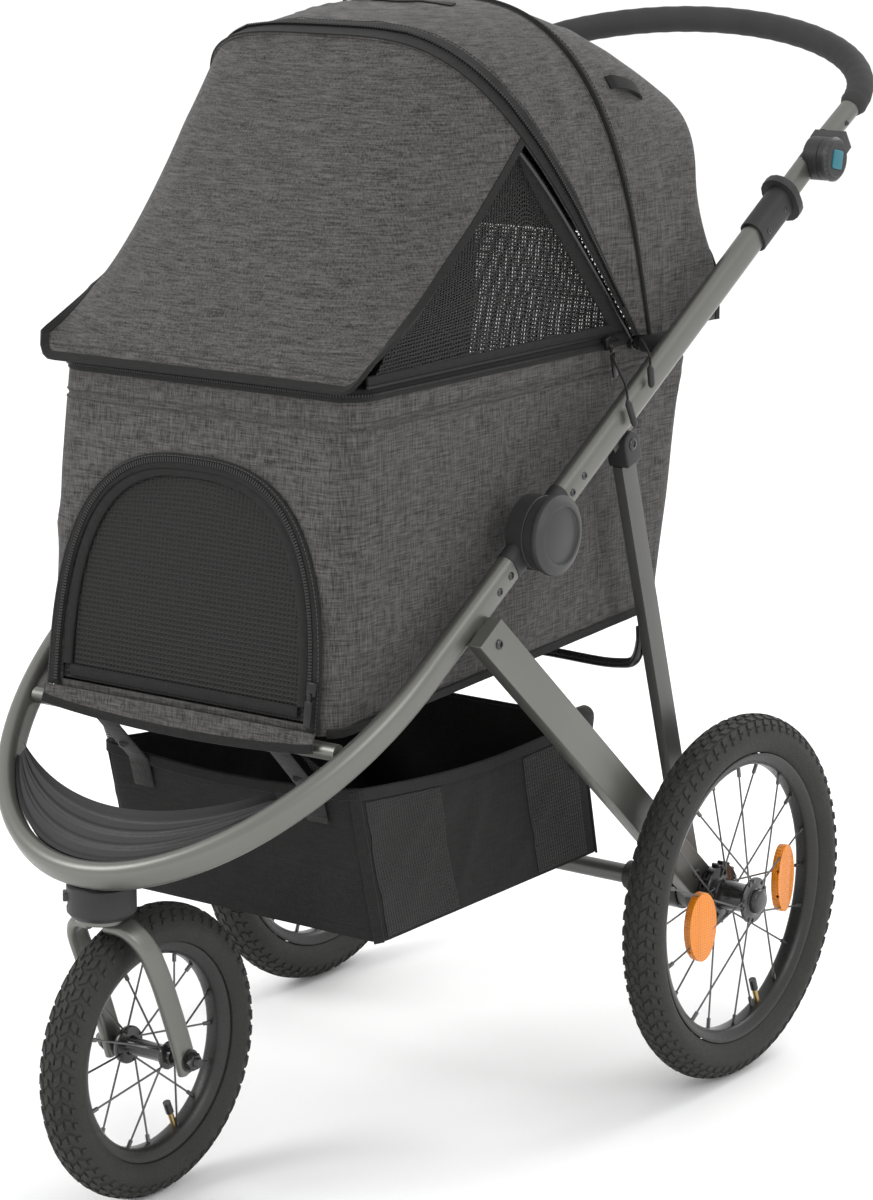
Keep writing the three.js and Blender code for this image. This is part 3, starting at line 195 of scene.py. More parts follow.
def surface_grain():
    group = bpy.data.node_groups.new("SurfaceGrain", "ShaderNodeTree")
    face = group.interface
    face.new_socket("Grain Scale", in_out="INPUT", socket_type="NodeSocketFloat").default_value = 900
    face.new_socket("Patch Scale", in_out="INPUT", socket_type="NodeSocketFloat").default_value = 9
    face.new_socket("Grain", in_out="OUTPUT", socket_type="NodeSocketFloat")
    face.new_socket("Patches", in_out="OUTPUT", socket_type="NodeSocketFloat")
    given, put_out = group.nodes.new("NodeGroupInput"), group.nodes.new("NodeGroupOutput")
    place = group.nodes.new("ShaderNodeTexCoord")
    for scale, out, detail in (("Grain Scale", "Grain", 2.0), ("Patch Scale", "Patches", 5.0)):
        speckle = group.nodes.new("ShaderNodeTexNoise")
        speckle.inputs["Detail"].default_value = detail
        group.links.new(place.outputs["Object"], speckle.inputs["Vector"])
        group.links.new(given.outputs[scale], speckle.inputs["Scale"])
        group.links.new(speckle.outputs["Fac"], put_out.inputs[out])
    return group


grain_group = surface_grain()


def hard_finish(name, dark, light, metallic, smooth, rough, grain=900, patch=9, depth=0.0001, coat=0.0,
                shine=0.35):
    material = bpy.data.materials.new(name)
    material.use_nodes = True
    tree = material.node_tree
    shader = tree.nodes["Principled BSDF"]
    shader.inputs["Metallic"].default_value = metallic
    shader.inputs["Coat Weight"].default_value = coat
    shader.inputs["Specular IOR Level"].default_value = shine
    shader.inputs["Coat Roughness"].default_value = 0.12
    group = tree.nodes.new("ShaderNodeGroup")
    group.node_tree = grain_group
    group.inputs["Grain Scale"].default_value = grain
    group.inputs["Patch Scale"].default_value = patch
    colour = tree.nodes.new("ShaderNodeMix")
    colour.data_type = "RGBA"
    colour.inputs[6].default_value = (*dark, 1)
    colour.inputs[7].default_value = (*light, 1)
    sheen = tree.nodes.new("ShaderNodeMapRange")
    sheen.inputs["From Min"].default_value = 0.3
    sheen.inputs["From Max"].default_value = 0.7
    sheen.inputs["To Min"].default_value = smooth
    sheen.inputs["To Max"].default_value = rough
    bump = tree.nodes.new("ShaderNodeBump")
    bump.inputs["Distance"].default_value = depth
    bump.inputs["Strength"].default_value = 0.6
    tree.links.new(group.outputs["Patches"], colour.inputs[0])
    tree.links.new(colour.outputs[2], shader.inputs["Base Color"])
    tree.links.new(group.outputs["Grain"], sheen.inputs["Value"])
    tree.links.new(sheen.outputs["Result"], shader.inputs["Roughness"])
    tree.links.new(group.outputs["Grain"], bump.inputs["Height"])
    tree.links.new(bump.outputs["Normal"], shader.inputs["Normal"])
    return material


grey_paint = hard_finish("satin_grey_paint", (0.135, 0.135, 0.124), (0.175, 0.175, 0.161), 0.75, 0.30, 0.42,
                         grain=1400, patch=6, depth=0.00004)


def give(piece, material, body, slot, *nodes):
    piece.data.materials.clear()
    piece.data.materials.append(material)
    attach(piece, body)
    if nodes:
        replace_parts(piece, *nodes)
    return piece


lower_end = hinge_u - hinge_radius - hinge_sleeve
loop_path = (between(on_frame(lower_end, 0, rail_x(lower_end)), on_frame(0, 0, loop_half_width), 10)[:-1]
             + bend(0, loop_half_width, -loop_reach)
             + between(on_frame(0, 0, -loop_half_width), on_frame(lower_end, 0, -rail_x(lower_end)),
                       10)[1:])
front_loop = sweep("front_loop", loop_path, oval(rail_depth, rail_width), off_plane)
give(front_loop, grey_paint, "lower_frame", "titanium", "front_frame")

bar_low, bar_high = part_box("crossbar")
bar_middle = (bar_low + bar_high) / 2
front_bar = sweep(
    "front_bar",
    between(Vector((bar_low.x, bar_middle.y, bar_middle.z)),
            Vector((bar_high.x, bar_middle.y, bar_middle.z)), 6),
    circle((bar_high.z - bar_low.z) / 2, 32), Vector((0, 0, 1)))
give(front_bar, grey_paint, "lower_frame", "titanium", "crossbar")

# ---- Footrest tray ----
# A moulded black plate that fills the front of the loop, with raised ribs across it.
# Its two drain slots are not cut into this plate.
black_moulding = hard_finish("black_moulding", (0.016, 0.016, 0.017), (0.026, 0.026, 0.027), 0.0, 0.42,
                             0.62,
                             grain=700, patch=14, depth=0.00012)


def apply_modifiers(piece):
    graph = bpy.context.evaluated_depsgraph_get()
    mesh = bpy.data.meshes.new_from_object(piece.evaluated_get(graph))
    piece.modifiers.clear()
    piece.data = mesh
    return piece


def refine(node, name, width=0.001, segments=2, angle=35):
    work = bmesh.new()
    work.from_mesh(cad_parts[node].data)
    bmesh.ops.remove_doubles(work, verts=work.verts, dist=1e-5)
    bmesh.ops.dissolve_limit(work, angle_limit=math.radians(2), verts=work.verts, edges=work.edges)
    mesh = bpy.data.meshes.new(name)
    work.to_mesh(mesh)
    work.free()
    piece = bpy.data.objects.new(name, mesh)
    scene.collection.objects.link(piece)
    rounding = piece.modifiers.new("rounding", "BEVEL")
    rounding.width = width
    rounding.segments = segments
    rounding.limit_method = "ANGLE"
    rounding.angle_limit = math.radians(angle)
    rounding.use_clamp_overlap = True
    apply_modifiers(piece)
    piece.data.shade_smooth()
    piece.data.set_sharp_from_angle(angle=math.radians(angle))
    return piece


tray_half_width, tray_tip, tray_curve, tray_half_thick = 0.160, -0.190, -0.300, 0.0045
tray_outer_u, tray_outer_x = loop_reach - 0.0115, loop_half_width - 0.0115
tray_rings = []
for i in range(65):
    part = 2 * i / 64 - 1
    x = tray_half_width * part
    far = -tray_outer_u * math.sqrt(1 - (x / tray_outer_x) ** 2)
    near = (1 - part * part) * (tray_curve - tray_tip) / 2 + tray_tip
    ring = []
    for j in range(41):
        v = j / 40
        u = near + (far - near) * v
        rib = 0.0022 * max(0.0, math.sin(v * math.pi * 7)) * min(1, 6 * v, 6 * (1 - v)) * min(1,
            8 * (1 - abs(part)))
        lip = 0.009 * max(0.0, 1 - v * 9) + 0.004 * max(0.0, v * 9 - 8)
        ring.append(on_frame(u, tray_half_thick + rib + lip, x))
    for j in range(11):
        v = 1 - j / 10
        ring.append(on_frame(near + (far - near) * v, -tray_half_thick, x))
    tray_rings.append(ring)
footrest = loft("footrest", tray_rings, sharp=60)
give(footrest, black_moulding, "lower_frame", "black_plastic", "footrest_tray")

# ---- Rails, canopy pivots and handle stems ----
# Straight flat-oval tubes from the hinges up to the collars. A slimmer stem slides in each.
# A turned boss and pin on each rail's inner face carries the canopy's wires.
canopy_u, rail_end_u, tilt_u, stem_depth, stem_width = 0.480, 0.690, 0.790, 0.028, 0.016
canopy_pivot = on_frame(canopy_u)


def turned(name, profile, centre, side=1, steps=64, ends="capped", sharp=32):
    """Turns (x, radius) points about a line along X through centre."""
    rings = []
    for x, radius in profile:
        rings.append([centre + Vector((side * x, radius * math.cos(2 * math.pi * i / steps),
                                       radius * math.sin(2 * math.pi * i / steps))) for i in range(steps)])
    return loft(name, rings, ends, sharp)


upper_start = hinge_u + hinge_radius + hinge_sleeve
for side, s in sides:
    rail = sweep("rail_" + side, between(on_frame(upper_start, 0, s * rail_x(upper_start)),
                                         on_frame(rail_end_u, 0, s * rail_x(rail_end_u)), 12),
                 oval(rail_depth, rail_width), off_plane)
    give(rail, grey_paint, "upper_frame", "titanium", "upper_rail_" + side)
    stem = sweep("stem_" + side, between(on_frame(rail_end_u - 0.055, 0, s * rail_x(rail_end_u - 0.055)),
                                         on_frame(tilt_u - 0.016, 0, s * rail_x(tilt_u - 0.016)), 6),
                 oval(stem_depth, stem_width), off_plane)
    give(stem, grey_paint, "upper_frame", "titanium", "handle_stem_" + side)
    boss_end = rail_x(canopy_u) - 0.004
    boss = turned("canopy_boss_" + side,
                  [(0.1885, 0.0), (0.1885, 0.0026), (0.189, 0.0032), (0.2041, 0.0032),
                                          (0.2041, 0.0088), (0.2055, 0.010), (boss_end, 0.010),
                                          (boss_end, 0.0)],
                  canopy_pivot, s)
    give(boss, black_moulding, "upper_frame", "black_plastic")

# ---- Fold hinges ----
# Each hinge is two moulded discs on one pin, with a sleeve into each rail end.
# A round cap with a wide bevel and a shallow dished face covers the outside.
hinge = on_frame(hinge_u)
hinge_x = rail_x(hinge_u)
cap_plastic = hard_finish("cap_plastic", (0.028, 0.028, 0.029), (0.042, 0.042, 0.043), 0.0, 0.36, 0.50,
                          grain=900, patch=10, depth=0.00008)
screw_steel = hard_finish("dark_screw_steel", (0.05, 0.05, 0.05), (0.09, 0.09, 0.09), 0.9, 0.25, 0.4,
                          depth=0.00003)
inner_face, outer_face = hinge_x - rail_width / 2, hinge_x + rail_width / 2 + 0.001
plate_seat, plate_back = outer_face + 0.0006, outer_face + 0.0116
for side, s in sides:
    lower_disc = turned("hinge_disc_lower_" + side, [
        (inner_face, 0.0), (inner_face, 0.036), (inner_face + 0.002, 0.038), (outer_face - 0.001, 0.038),
        (outer_face, 0.037), (outer_face, 0.0)], hinge, s)
    give(lower_disc, black_moulding, "lower_frame", "black_plastic", "hinge_lower_" + side)
    upper_disc = turned("hinge_disc_upper_" + side, [
        (plate_seat, 0.0), (plate_seat, 0.037), (plate_seat + 0.001, 0.038), (plate_back, 0.038),
        (plate_back, 0.0)], hinge, s)
    give(upper_disc, black_moulding, "upper_frame", "black_plastic", "hinge_upper_" + side)
    for label, body, first, last in (("lower", "lower_frame", lower_end - 0.010, hinge_u - 0.030),
                                     ("upper", "upper_frame", upper_start + 0.010, hinge_u + 0.030)):
        sleeve = sweep("hinge_sleeve_%s_%s" % (label, side),
                       between(on_frame(first, 0, s * (rail_x(first))), on_frame(last, 0, s * rail_x(last)),
                               4),
                       oval(rail_depth + 0.0016, rail_width + 0.0016), off_plane)
        give(sleeve, black_moulding, body, "black_plastic")
    neck = refine("hinge_upper_" + side, "hinge_neck_" + side, 0.0012)
    give(neck, black_moulding, "upper_frame", "black_plastic")
    start = plate_back + 0.0004
    cover = turned("hinge_cover_" + side, [
        (start, 0.0), (start, 0.0395), (start + 0.0012, 0.0408), (start + 0.004, 0.041),
        (start + 0.0062, 0.0402),
        (start + 0.0098, 0.0345), (start + 0.0108, 0.0325), (start + 0.011, 0.0305),
        (start + 0.0102, 0.0292),
        (start + 0.0088, 0.0286), (start + 0.0084, 0.0272), (start + 0.0089, 0.0262),
        (start + 0.0089, 0.0)],
        hinge, s, 96)
    give(cover, cap_plastic, "upper_frame", "black_plastic", "hinge_cap_" + side)


# ---- Repeating round an axle ----
# Spokes, nipples, tread blocks, brake teeth and screws are all one small shape
# repeated at equal turns round a wheel's line, which one node tree does.
def round_axle_tree():
    tree = bpy.data.node_groups.new("RepeatRoundAxle", "GeometryNodeTree")
    face = tree.interface
    face.new_socket("Shape", in_out="INPUT", socket_type="NodeSocketGeometry")
    face.new_socket("Count", in_out="INPUT", socket_type="NodeSocketInt")
    face.new_socket("First Turn", in_out="INPUT", socket_type="NodeSocketFloat")
    face.new_socket("Centre", in_out="INPUT", socket_type="NodeSocketVector")
    face.new_socket("Material", in_out="INPUT", socket_type="NodeSocketMaterial")
    face.new_socket("Shape", in_out="OUTPUT", socket_type="NodeSocketGeometry")
    given, put_out = tree.nodes.new("NodeGroupInput"), tree.nodes.new("NodeGroupOutput")
    points = tree.nodes.new("GeometryNodePoints")
    index = tree.nodes.new("GeometryNodeInputIndex")
    share = tree.nodes.new("ShaderNodeMath")
    share.operation = "DIVIDE"
    turn = tree.nodes.new("ShaderNodeMath")
    turn.operation = "MULTIPLY_ADD"
    turn.inputs[1].default_value = 2 * math.pi
    angles = tree.nodes.new("ShaderNodeCombineXYZ")
    rotation = tree.nodes.new("FunctionNodeEulerToRotation")
    copies = tree.nodes.new("GeometryNodeInstanceOnPoints")
    real = tree.nodes.new("GeometryNodeRealizeInstances")
    moved = tree.nodes.new("GeometryNodeTransform")
    painted = tree.nodes.new("GeometryNodeSetMaterial")
    for start, end in (
        (given.outputs["Count"], points.inputs["Count"]),
        (index.outputs["Index"], share.inputs[0]),
        (given.outputs["Count"], share.inputs[1]),
        (share.outputs[0], turn.inputs[0]),
        (given.outputs["First Turn"], turn.inputs[2]),
        (turn.outputs[0], angles.inputs["X"]),
        (angles.outputs[0], rotation.inputs[0]),
        (points.outputs[0], copies.inputs["Points"]),
        (given.outputs["Shape"], copies.inputs["Instance"]),
        (rotation.outputs[0], copies.inputs["Rotation"]),
        (copies.outputs[0], real.inputs[0]),
        (real.outputs[0], moved.inputs["Geometry"]),
        (given.outputs["Centre"], moved.inputs["Translation"]),
        (moved.outputs[0], painted.inputs["Geometry"]),
        (given.outputs["Material"], painted.inputs["Material"]),
        (painted.outputs[0], put_out.inputs[0]),
    ):
        tree.links.new(start, end)
    return tree


round_axle = round_axle_tree()


def set_inputs(modifier, tree, values):
    for item in tree.interface.items_tree:
        if item.in_out == "INPUT" and item.name in values:
            modifier[item.identifier] = values[item.name]


def repeat_round(shape, count, centre, material, first=0.0):
    modifier = shape.modifiers.new("round_axle", "NODES")
    modifier.node_group = round_axle
    set_inputs(modifier, round_axle, {"Count": count, "First Turn": first, "Centre": tuple(centre),
                                      "Material": material})
    return apply_modifiers(shape)


def join(name, *pieces):
    """Joins plain meshes, each with its own material, into one piece."""
    work = bmesh.new()
    materials = []
    for piece in pieces:
        start = len(work.faces)
        work.from_mesh(piece.data)
        work.faces.ensure_lookup_table()
        for material in piece.data.materials:
            if material not in materials:
                materials.append(material)
        for face in work.faces[start:]:
            face.material_index = materials.index(piece.data.materials[min(
                face.material_index, len(piece.data.materials) - 1)]) if piece.data.materials else 0
    mesh = bpy.data.meshes.new(name)
    for material in materials:
        mesh.materials.append(material)
    work.to_mesh(mesh)
    work.free()
    for piece in pieces:
        bpy.data.objects.remove(piece)
    mesh.set_sharp_from_angle(angle=math.radians(40))
    made = bpy.data.objects.new(name, mesh)
    scene.collection.objects.link(made)
    return made


def paint(piece, material):
    piece.data.materials.clear()
    piece.data.materials.append(material)
    return piece


# ---- Tyres ----
# Air-filled rubber tyres with moulded blocks: a split centre row, two slanted rows beside it
# and knobs on the shoulders. The walls carry two fine raised lines.
tyre_rubber = hard_finish("tyre_rubber", (0.016, 0.016, 0.015), (0.030, 0.030, 0.028), 0.0, 0.62, 0.85,
                          grain=500, patch=18, depth=0.0002)
tyre_width, rim_width, rim_depth = 0.047, 0.027, 0.0135


def wheel_point(x, radial, tangent=0.0):
    return Vector((x, radial, tangent))


def tread_block(name, middle, turn, arc, length, skew, lean=0.0):
    """One rubber block on the tyre's crown, turn round the section from its top."""
    low, high = tyre_width / 2 - 0.0026, tyre_width / 2 - 0.0003
    corners = []
    for reach, taper in ((low, 1.0), (high, 0.80)):
        for across, along in ((-1, -1), (1, -1), (1, 1), (-1, 1)):
            a = turn + across * taper * arc / 2 / high
            tangent = along * taper * length / 2 + across * skew / 2 + lean
            corners.append(wheel_point(reach * math.sin(a), middle + reach * math.cos(a), tangent))
    faces = [(4, 5, 6, 7), (0, 1, 5, 4), (1, 2, 6, 5), (2, 3, 7, 6), (3, 0, 4, 7), (3, 2, 1, 0)]
    return mesh_piece(name, corners, faces)


def build_tyre(name, centre, radius, rim, blocks):
    section = tyre_width / 2
    middle = radius - section
    skin = section - 0.0022
    reach = math.pi - math.asin((rim_width / 2 - 0.002) / skin)
    profile = []
    for i in range(41):
        a = -reach + 2 * reach * i / 40
        line = 0.0004 if i in (6, 8, 32, 34) else 0.0
        profile.append(((skin + line) * math.sin(a),
                        max(middle + (skin + line) * math.cos(a), rim + 0.0004)))
    for i in range(13):
        a = (reach - 0.08) * (1 - 2 * i / 12)
        profile.append(((skin - 0.003) * math.sin(a),
                        max(middle + (skin - 0.003) * math.cos(a), rim + 0.0004)))
    casing = turned(name + "_casing", profile, Vector(centre), 1, 112, ends="joined", sharp=60)
    parts = [paint(casing, tyre_rubber)]
    pitch = 2 * math.pi * (radius - 0.002) / blocks
    rows = [(0.11, 0.0062, 0.62, 0.0035, 0.0), (-0.11, 0.0062, 0.62, -0.0035, 0.5),
            (0.44, 0.0072, 0.66, -0.0050, 0.25), (-0.44, 0.0072, 0.66, 0.0050, 0.75),
            (0.80, 0.0070, 0.60, 0.0040, 0.0), (-0.80, 0.0070, 0.60, -0.0040, 0.5),
            (1.12, 0.0052, 0.42, 0.0015, 0.25), (-1.12, 0.0052, 0.42, -0.0015, 0.75)]
    for i, (turn, arc, share, skew, offset) in enumerate(rows):
        block = tread_block("%s_block_%d" % (name, i), middle, turn, arc, pitch * share, skew)
        parts.append(repeat_round(block, blocks, centre, tyre_rubber, 2 * math.pi * offset / blocks))
    return join(name, *parts)


# ---- Rims, spokes and hubs ----
# Black box-section rims laced with thin dark spokes, crossed two and two, whose nipples
# show at the rim. Each hub is turned with two flanges, and a valve stands in each rim.
gloss_black = hard_finish("gloss_black", (0.012, 0.012, 0.012), (0.02, 0.02, 0.02), 0.0, 0.16, 0.28,
                          grain=300, patch=8, depth=0.00003, coat=0.4)
rim_black = hard_finish("rim_black", (0.02, 0.02, 0.02), (0.035, 0.035, 0.034), 0.3, 0.26, 0.40,
                        grain=500, patch=9, depth=0.00003)
spoke_steel = hard_finish("spoke_steel", (0.10, 0.10, 0.10), (0.16, 0.16, 0.16), 0.9, 0.28, 0.42,
                          depth=0.00002)
valve_brass = hard_finish("valve_brass", (0.42, 0.30, 0.12), (0.55, 0.40, 0.18), 0.95, 0.25, 0.40,
                          depth=0.00002)


def wheel_rod(name, start, end, radius, steps=6):
    across = Vector((1, 0, 0)) if abs((end - start).normalized().x) < 0.9 else Vector((0, 0, 1))
    return sweep(name, between(start, end, 1), circle(radius, steps), across, sharp=60)


def build_rim(name, centre, rim):
    half, inner = rim_width / 2, rim - rim_depth
    profile = [(-half, rim), (-half - 0.0004, rim - 0.0012), (-half + 0.0008, rim - 0.0045),
               (-half + 0.0030, rim - 0.009),
               (-half + 0.0056, inner + 0.0012), (-half + 0.0085, inner + 0.0002), (0, inner),
               (half - 0.0085, inner + 0.0002), (half - 0.0056, inner + 0.0012),
               (half - 0.0030, rim - 0.009),
               (half - 0.0008, rim - 0.0045), (half + 0.0004, rim - 0.0012), (half, rim),
               (half - 0.002, rim - 0.0005),
               (half - 0.0035, rim - 0.004), (-half + 0.0035, rim - 0.004), (-half + 0.002, rim - 0.0005)]
    ring = paint(turned(name + "_ring", profile, Vector(centre), 1, 112, ends="joined", sharp=45),
                 rim_black)
    stem_at = wheel_point(0, inner)
    stem_in = wheel_point(0, inner - 0.024)
    stem = paint(wheel_rod(name + "_stem", stem_at, stem_in, 0.0031, 12), valve_brass)
    cap = paint(wheel_rod(name + "_stem_cap", wheel_point(0, inner - 0.017), wheel_point(0, inner - 0.030),
                          0.0042, 12), gloss_black)
    turn_up = Matrix.Translation(centre) @ Matrix.Rotation(math.radians(-68), 4, "X")
    for piece in (stem, cap):
        piece.data.transform(turn_up)
    return join(name, ring, stem, cap)


def build_spokes(name, centre, rim, spokes, flange, near_x, far_x, lean):
    inner = rim - rim_depth
    step = 2 * math.pi / spokes
    parts = []
    for i in range(4):
        flange_x = far_x if i % 2 else near_x
        slant = lean if i // 2 == 0 else -lean
        rim_turn = step * i
        start = Vector((flange_x, flange * math.cos(rim_turn + slant), flange * math.sin(rim_turn + slant)))
        end = Vector((flange_x * 0.12, inner * math.cos(rim_turn), inner * math.sin(rim_turn)))
        wire = paint(wheel_rod("%s_wire_%d" % (name, i), start, end, 0.00105, 8), spoke_steel)
        parts.append(repeat_round(wire, spokes // 4, centre, spoke_steel))
        nipple = wheel_rod("%s_nipple_%d" % (name, i), end.lerp(start, 0.085), end, 0.0022, 8)
        parts.append(repeat_round(nipple, spokes // 4, centre, spoke_steel))
        head = wheel_rod("%s_head_%d" % (name, i), start,
                         start + Vector((0.0022 if i % 2 else -0.0022, 0, 0)), 0.002, 8)
        parts.append(repeat_round(head, spokes // 4, centre, spoke_steel))
    return join(name, *parts)


rear_radius, rear_rim = 0.1995, 0.158
front_radius, front_rim = 0.149, 0.111
track = (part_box("rear_tyre_left")[0].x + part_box("rear_tyre_left")[1].x) / 2
rear_hub_profile = [
    (-0.024, 0.0064), (-0.024, 0.0265), (-0.0225, 0.028), (-0.0208, 0.0315), (-0.0195, 0.0322),
    (-0.0150, 0.0322),
    (-0.0138, 0.0310), (-0.0125, 0.0175), (-0.0100, 0.0160), (0.0195, 0.0150), (0.0215, 0.0165),
    (0.0232, 0.0238),
    (0.0240, 0.0250), (0.0262, 0.0250), (0.0270, 0.0242), (0.0274, 0.0145), (0.0280, 0.0137),
    (0.0335, 0.0133),
    (0.0350, 0.0120), (0.0358, 0.0085), (0.0362, 0.0)]
for side, s in sides:
    centre = Vector((s * track, axle.y, axle.z))
    body = "rear_wheel_" + side
    tyre = build_tyre("tyre_rear_" + side, centre, rear_radius, rear_rim, 72)
    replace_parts(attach(tyre, body), "rear_tyre_" + side)
    rim = build_rim("rim_rear_" + side, centre, rear_rim)
    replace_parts(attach(rim, body), "rear_rim_" + side)
    spokes = build_spokes("spokes_rear_" + side, centre, rear_rim, 20, 0.022, s * -0.012, s * 0.026, 0.5)
    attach(spokes, body)
    shell = paint(turned("hub_shell", rear_hub_profile, Vector(), s, 64, sharp=30), gloss_black)
    shell.data.transform(Matrix.Translation(centre))
    tooth = mesh_piece("tooth", [
        Vector((s * x, r, t)) for x in (-0.0235, -0.0165)
        for r, t in ((0.0305, -0.0022), (0.0305, 0.0022), (0.0350, 0.0014), (0.0350, -0.0014))],
        [(0, 1, 2, 3), (7, 6, 5, 4), (0, 4, 5, 1), (1, 5, 6, 2), (2, 6, 7, 3), (3, 7, 4, 0)])
    teeth = repeat_round(tooth, 18, centre, gloss_black)
    hub = join("hub_rear_" + side, shell, teeth)
    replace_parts(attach(hub, body), "rear_hub_" + side)


# ---- Front wheel, axle bolt and fork ----
# The same build at a smaller size, on a plain hub held by a bolt with a hex nut at each end.
# The fork's two flat-oval legs bow out of a thin crown plate and run straight to the axle.
wheel_low, wheel_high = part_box("front_tyre")
front_centre = Vector((0, (wheel_low.y + wheel_high.y) / 2, front_radius))
front_tyre = build_tyre("tyre_front", front_centre, front_radius, front_rim, 54)
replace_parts(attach(front_tyre, "front_wheel"), "front_tyre")
front_ring = build_rim("rim_front", front_centre, front_rim)
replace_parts(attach(front_ring, "front_wheel"), "front_rim")
front_spokes = build_spokes("spokes_front", front_centre, front_rim, 16, 0.011, -0.025, 0.025, 0.6)
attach(front_spokes, "front_wheel")
front_shell = paint(turned("front_hub_shell", [
    (-0.033, 0.0054), (-0.033, 0.0090), (-0.0315, 0.0165), (-0.0295, 0.0188), (-0.0285, 0.0192),
    (-0.0250, 0.0192),
    (-0.0240, 0.0185), (-0.0228, 0.0100), (-0.0200, 0.0088), (0.0200, 0.0088), (0.0225, 0.0100),
    (0.0238, 0.0136),
    (0.0245, 0.0142), (0.0268, 0.0142), (0.0276, 0.0135), (0.0285, 0.0092), (0.0330, 0.0088),
    (0.0330, 0.0054)],
    front_centre, 1, 56, ends="joined", sharp=30), gloss_black)
dimple = mesh_piece("dimple", [Vector((x, 0.0118 + 0.0016 * math.cos(t), 0.0016 * math.sin(t)))
                               for x in (0.0266, 0.0272) for t in [math.pi * k / 3 for k in range(6)]],
                    [tuple(range(6)), tuple(range(11, 5, -1))]
                    + [(k, k + 6, (k + 1) % 6 + 6, (k + 1) % 6) for k in range(6)])
dimples = repeat_round(dimple, 8, front_centre, spoke_steel)
front_hub = join("hub_front", front_shell, dimples)
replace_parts(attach(front_hub, "front_wheel"), "front_hub")

nut_face = 0.0529
bolt_parts = [paint(turned("bolt", [(-nut_face - 0.0135, 0.0), (-nut_face - 0.0130, 0.0042),
                                    (-nut_face - 0.012, 0.005),
                                    (nut_face + 0.012, 0.005), (nut_face + 0.0130, 0.0042),
                                    (nut_face + 0.0135, 0.0)], front_centre, 1, 24), screw_steel)]
for s in (1, -1):
    nut = turned("nut", [(nut_face, 0.0), (nut_face, 0.0092), (nut_face + 0.0078, 0.0092),
                         (nut_face + 0.009, 0.0080), (nut_face + 0.009, 0.0)], front_centre, s, 6)
    washer = turned("washer",
                    [(nut_face - 0.0004, 0.0), (nut_face - 0.0004, 0.0115), (nut_face + 0.0012, 0.0115),
                               (nut_face + 0.0012, 0.0)], front_centre, s, 32)
    bolt_parts += [paint(nut, gloss_black), paint(washer, screw_steel)]
front_bolt = join("front_bolt", *bolt_parts)
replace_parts(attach(front_bolt, "fork_group"), "front_axle")

steer = Vector((0, axle.y - 0.700, 0))
crown_top = 0.3054
fork_span = 0.047


def smooth_path(points, steps):
    """Runs a smooth line through the points, spaced by their distances."""
    knots = [0.0]
    for a, b in zip(points, points[1:]):
        knots.append(knots[-1] + max((b - a).length, 1e-6) ** 0.5)
    knots = np.array(knots)
    places = np.array([tuple(p) for p in points])
    slopes = np.gradient(places, knots, axis=0)
    path = []
    for t in np.linspace(knots[0], knots[-1], steps + 1):
        k = min(np.searchsorted(knots, t, side="right") - 1, len(knots) - 2)
        h = knots[k + 1] - knots[k]
        v = (t - knots[k]) / h
        path.append(Vector((2 * v**3 - 3 * v**2 + 1) * places[k] + (v**3 - 2 * v**2 + v) * h * slopes[k]
                           + (3 * v**2 - 2 * v**3) * places[k + 1] + (v**3 - v**2) * h * slopes[k + 1]))
    return path


fork_parts = []
for s in (1, -1):
    leg_path = smooth_path([
        Vector((s * 0.010, steer.y, crown_top - 0.0065)),
        Vector((s * 0.030, steer.y + 0.002, crown_top - 0.0085)),
        Vector((s * 0.043, steer.y + 0.011, crown_top - 0.024)),
        Vector((s * fork_span, steer.y + 0.026, crown_top - 0.056)),
        Vector((s * fork_span, steer.y + 0.046, front_radius + 0.052)),
        Vector((s * fork_span, front_centre.y - 0.004, front_radius + 0.010)),
        Vector((s * fork_span, front_centre.y + 0.003, front_radius - 0.012)),
    ], 40)
    leg = sweep("fork_leg", leg_path, oval(0.025, 0.011, 8), Vector((0, 0.92, 0.38)))
    fork_parts.append(paint(leg, grey_paint))


def turned_upright(name, profile, centre, steps=64, ends="capped", sharp=32):
    """Turns (radius, height) points about the upright line through centre."""
    rings = [[Vector((centre.x + r * math.cos(2 * math.pi * i / steps),
                      centre.y + r * math.sin(2 * math.pi * i / steps), z))
              for i in range(steps)] for r, z in profile]
    return loft(name, rings, ends, sharp)


crown = turned_upright("fork_crown", [
    (0.0, crown_top - 0.0050), (0.0250, crown_top - 0.0050), (0.0260, crown_top - 0.0040),
    (0.0260, crown_top - 0.0008),
    (0.0252, crown_top), (0.0090, crown_top), (0.0090, 0.330), (0.0, 0.330)], steer, 56)
fork_parts.append(paint(crown, grey_paint))
fork = join("fork_body", *fork_parts)
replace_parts(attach(fork, "fork_group"), "fork")

# ---- Steering head ----
# A black moulded drum under the loop's nose holds the fork's bearing.
# A small tab on its side drops to lock the fork straight ahead.
head = refine("steering_housing", "steering_head", 0.0016, 3, 30)
give(head, black_moulding, "lower_frame", "black_plastic", "steering_housing")
tab = refine("swivel_lock", "swivel_tab", 0.0012, 3)
give(tab, cap_plastic, "lock_tab", "black_plastic", "swivel_lock")

# ---- Struts, rear legs and brace ----
# Wide flat struts run from bolts under the lower rails to the axle. Slim flat legs stand
# from the axle up to black caps under the upper rails, with a bent black tube between them.
strut_top = on_frame(0.066, -0.016)
leg_top = on_frame(0.362, -0.030)
strut_x = rail_x(0.066) + rail_width / 2 + 0.0006 + 0.0085
leg_x = strut_x - 0.0085 - 0.0006 - 0.006
satin_tube = hard_finish("satin_leg_paint", (0.10, 0.10, 0.098), (0.14, 0.14, 0.135), 0.7, 0.34, 0.46,
                         grain=1200, patch=7, depth=0.00004)


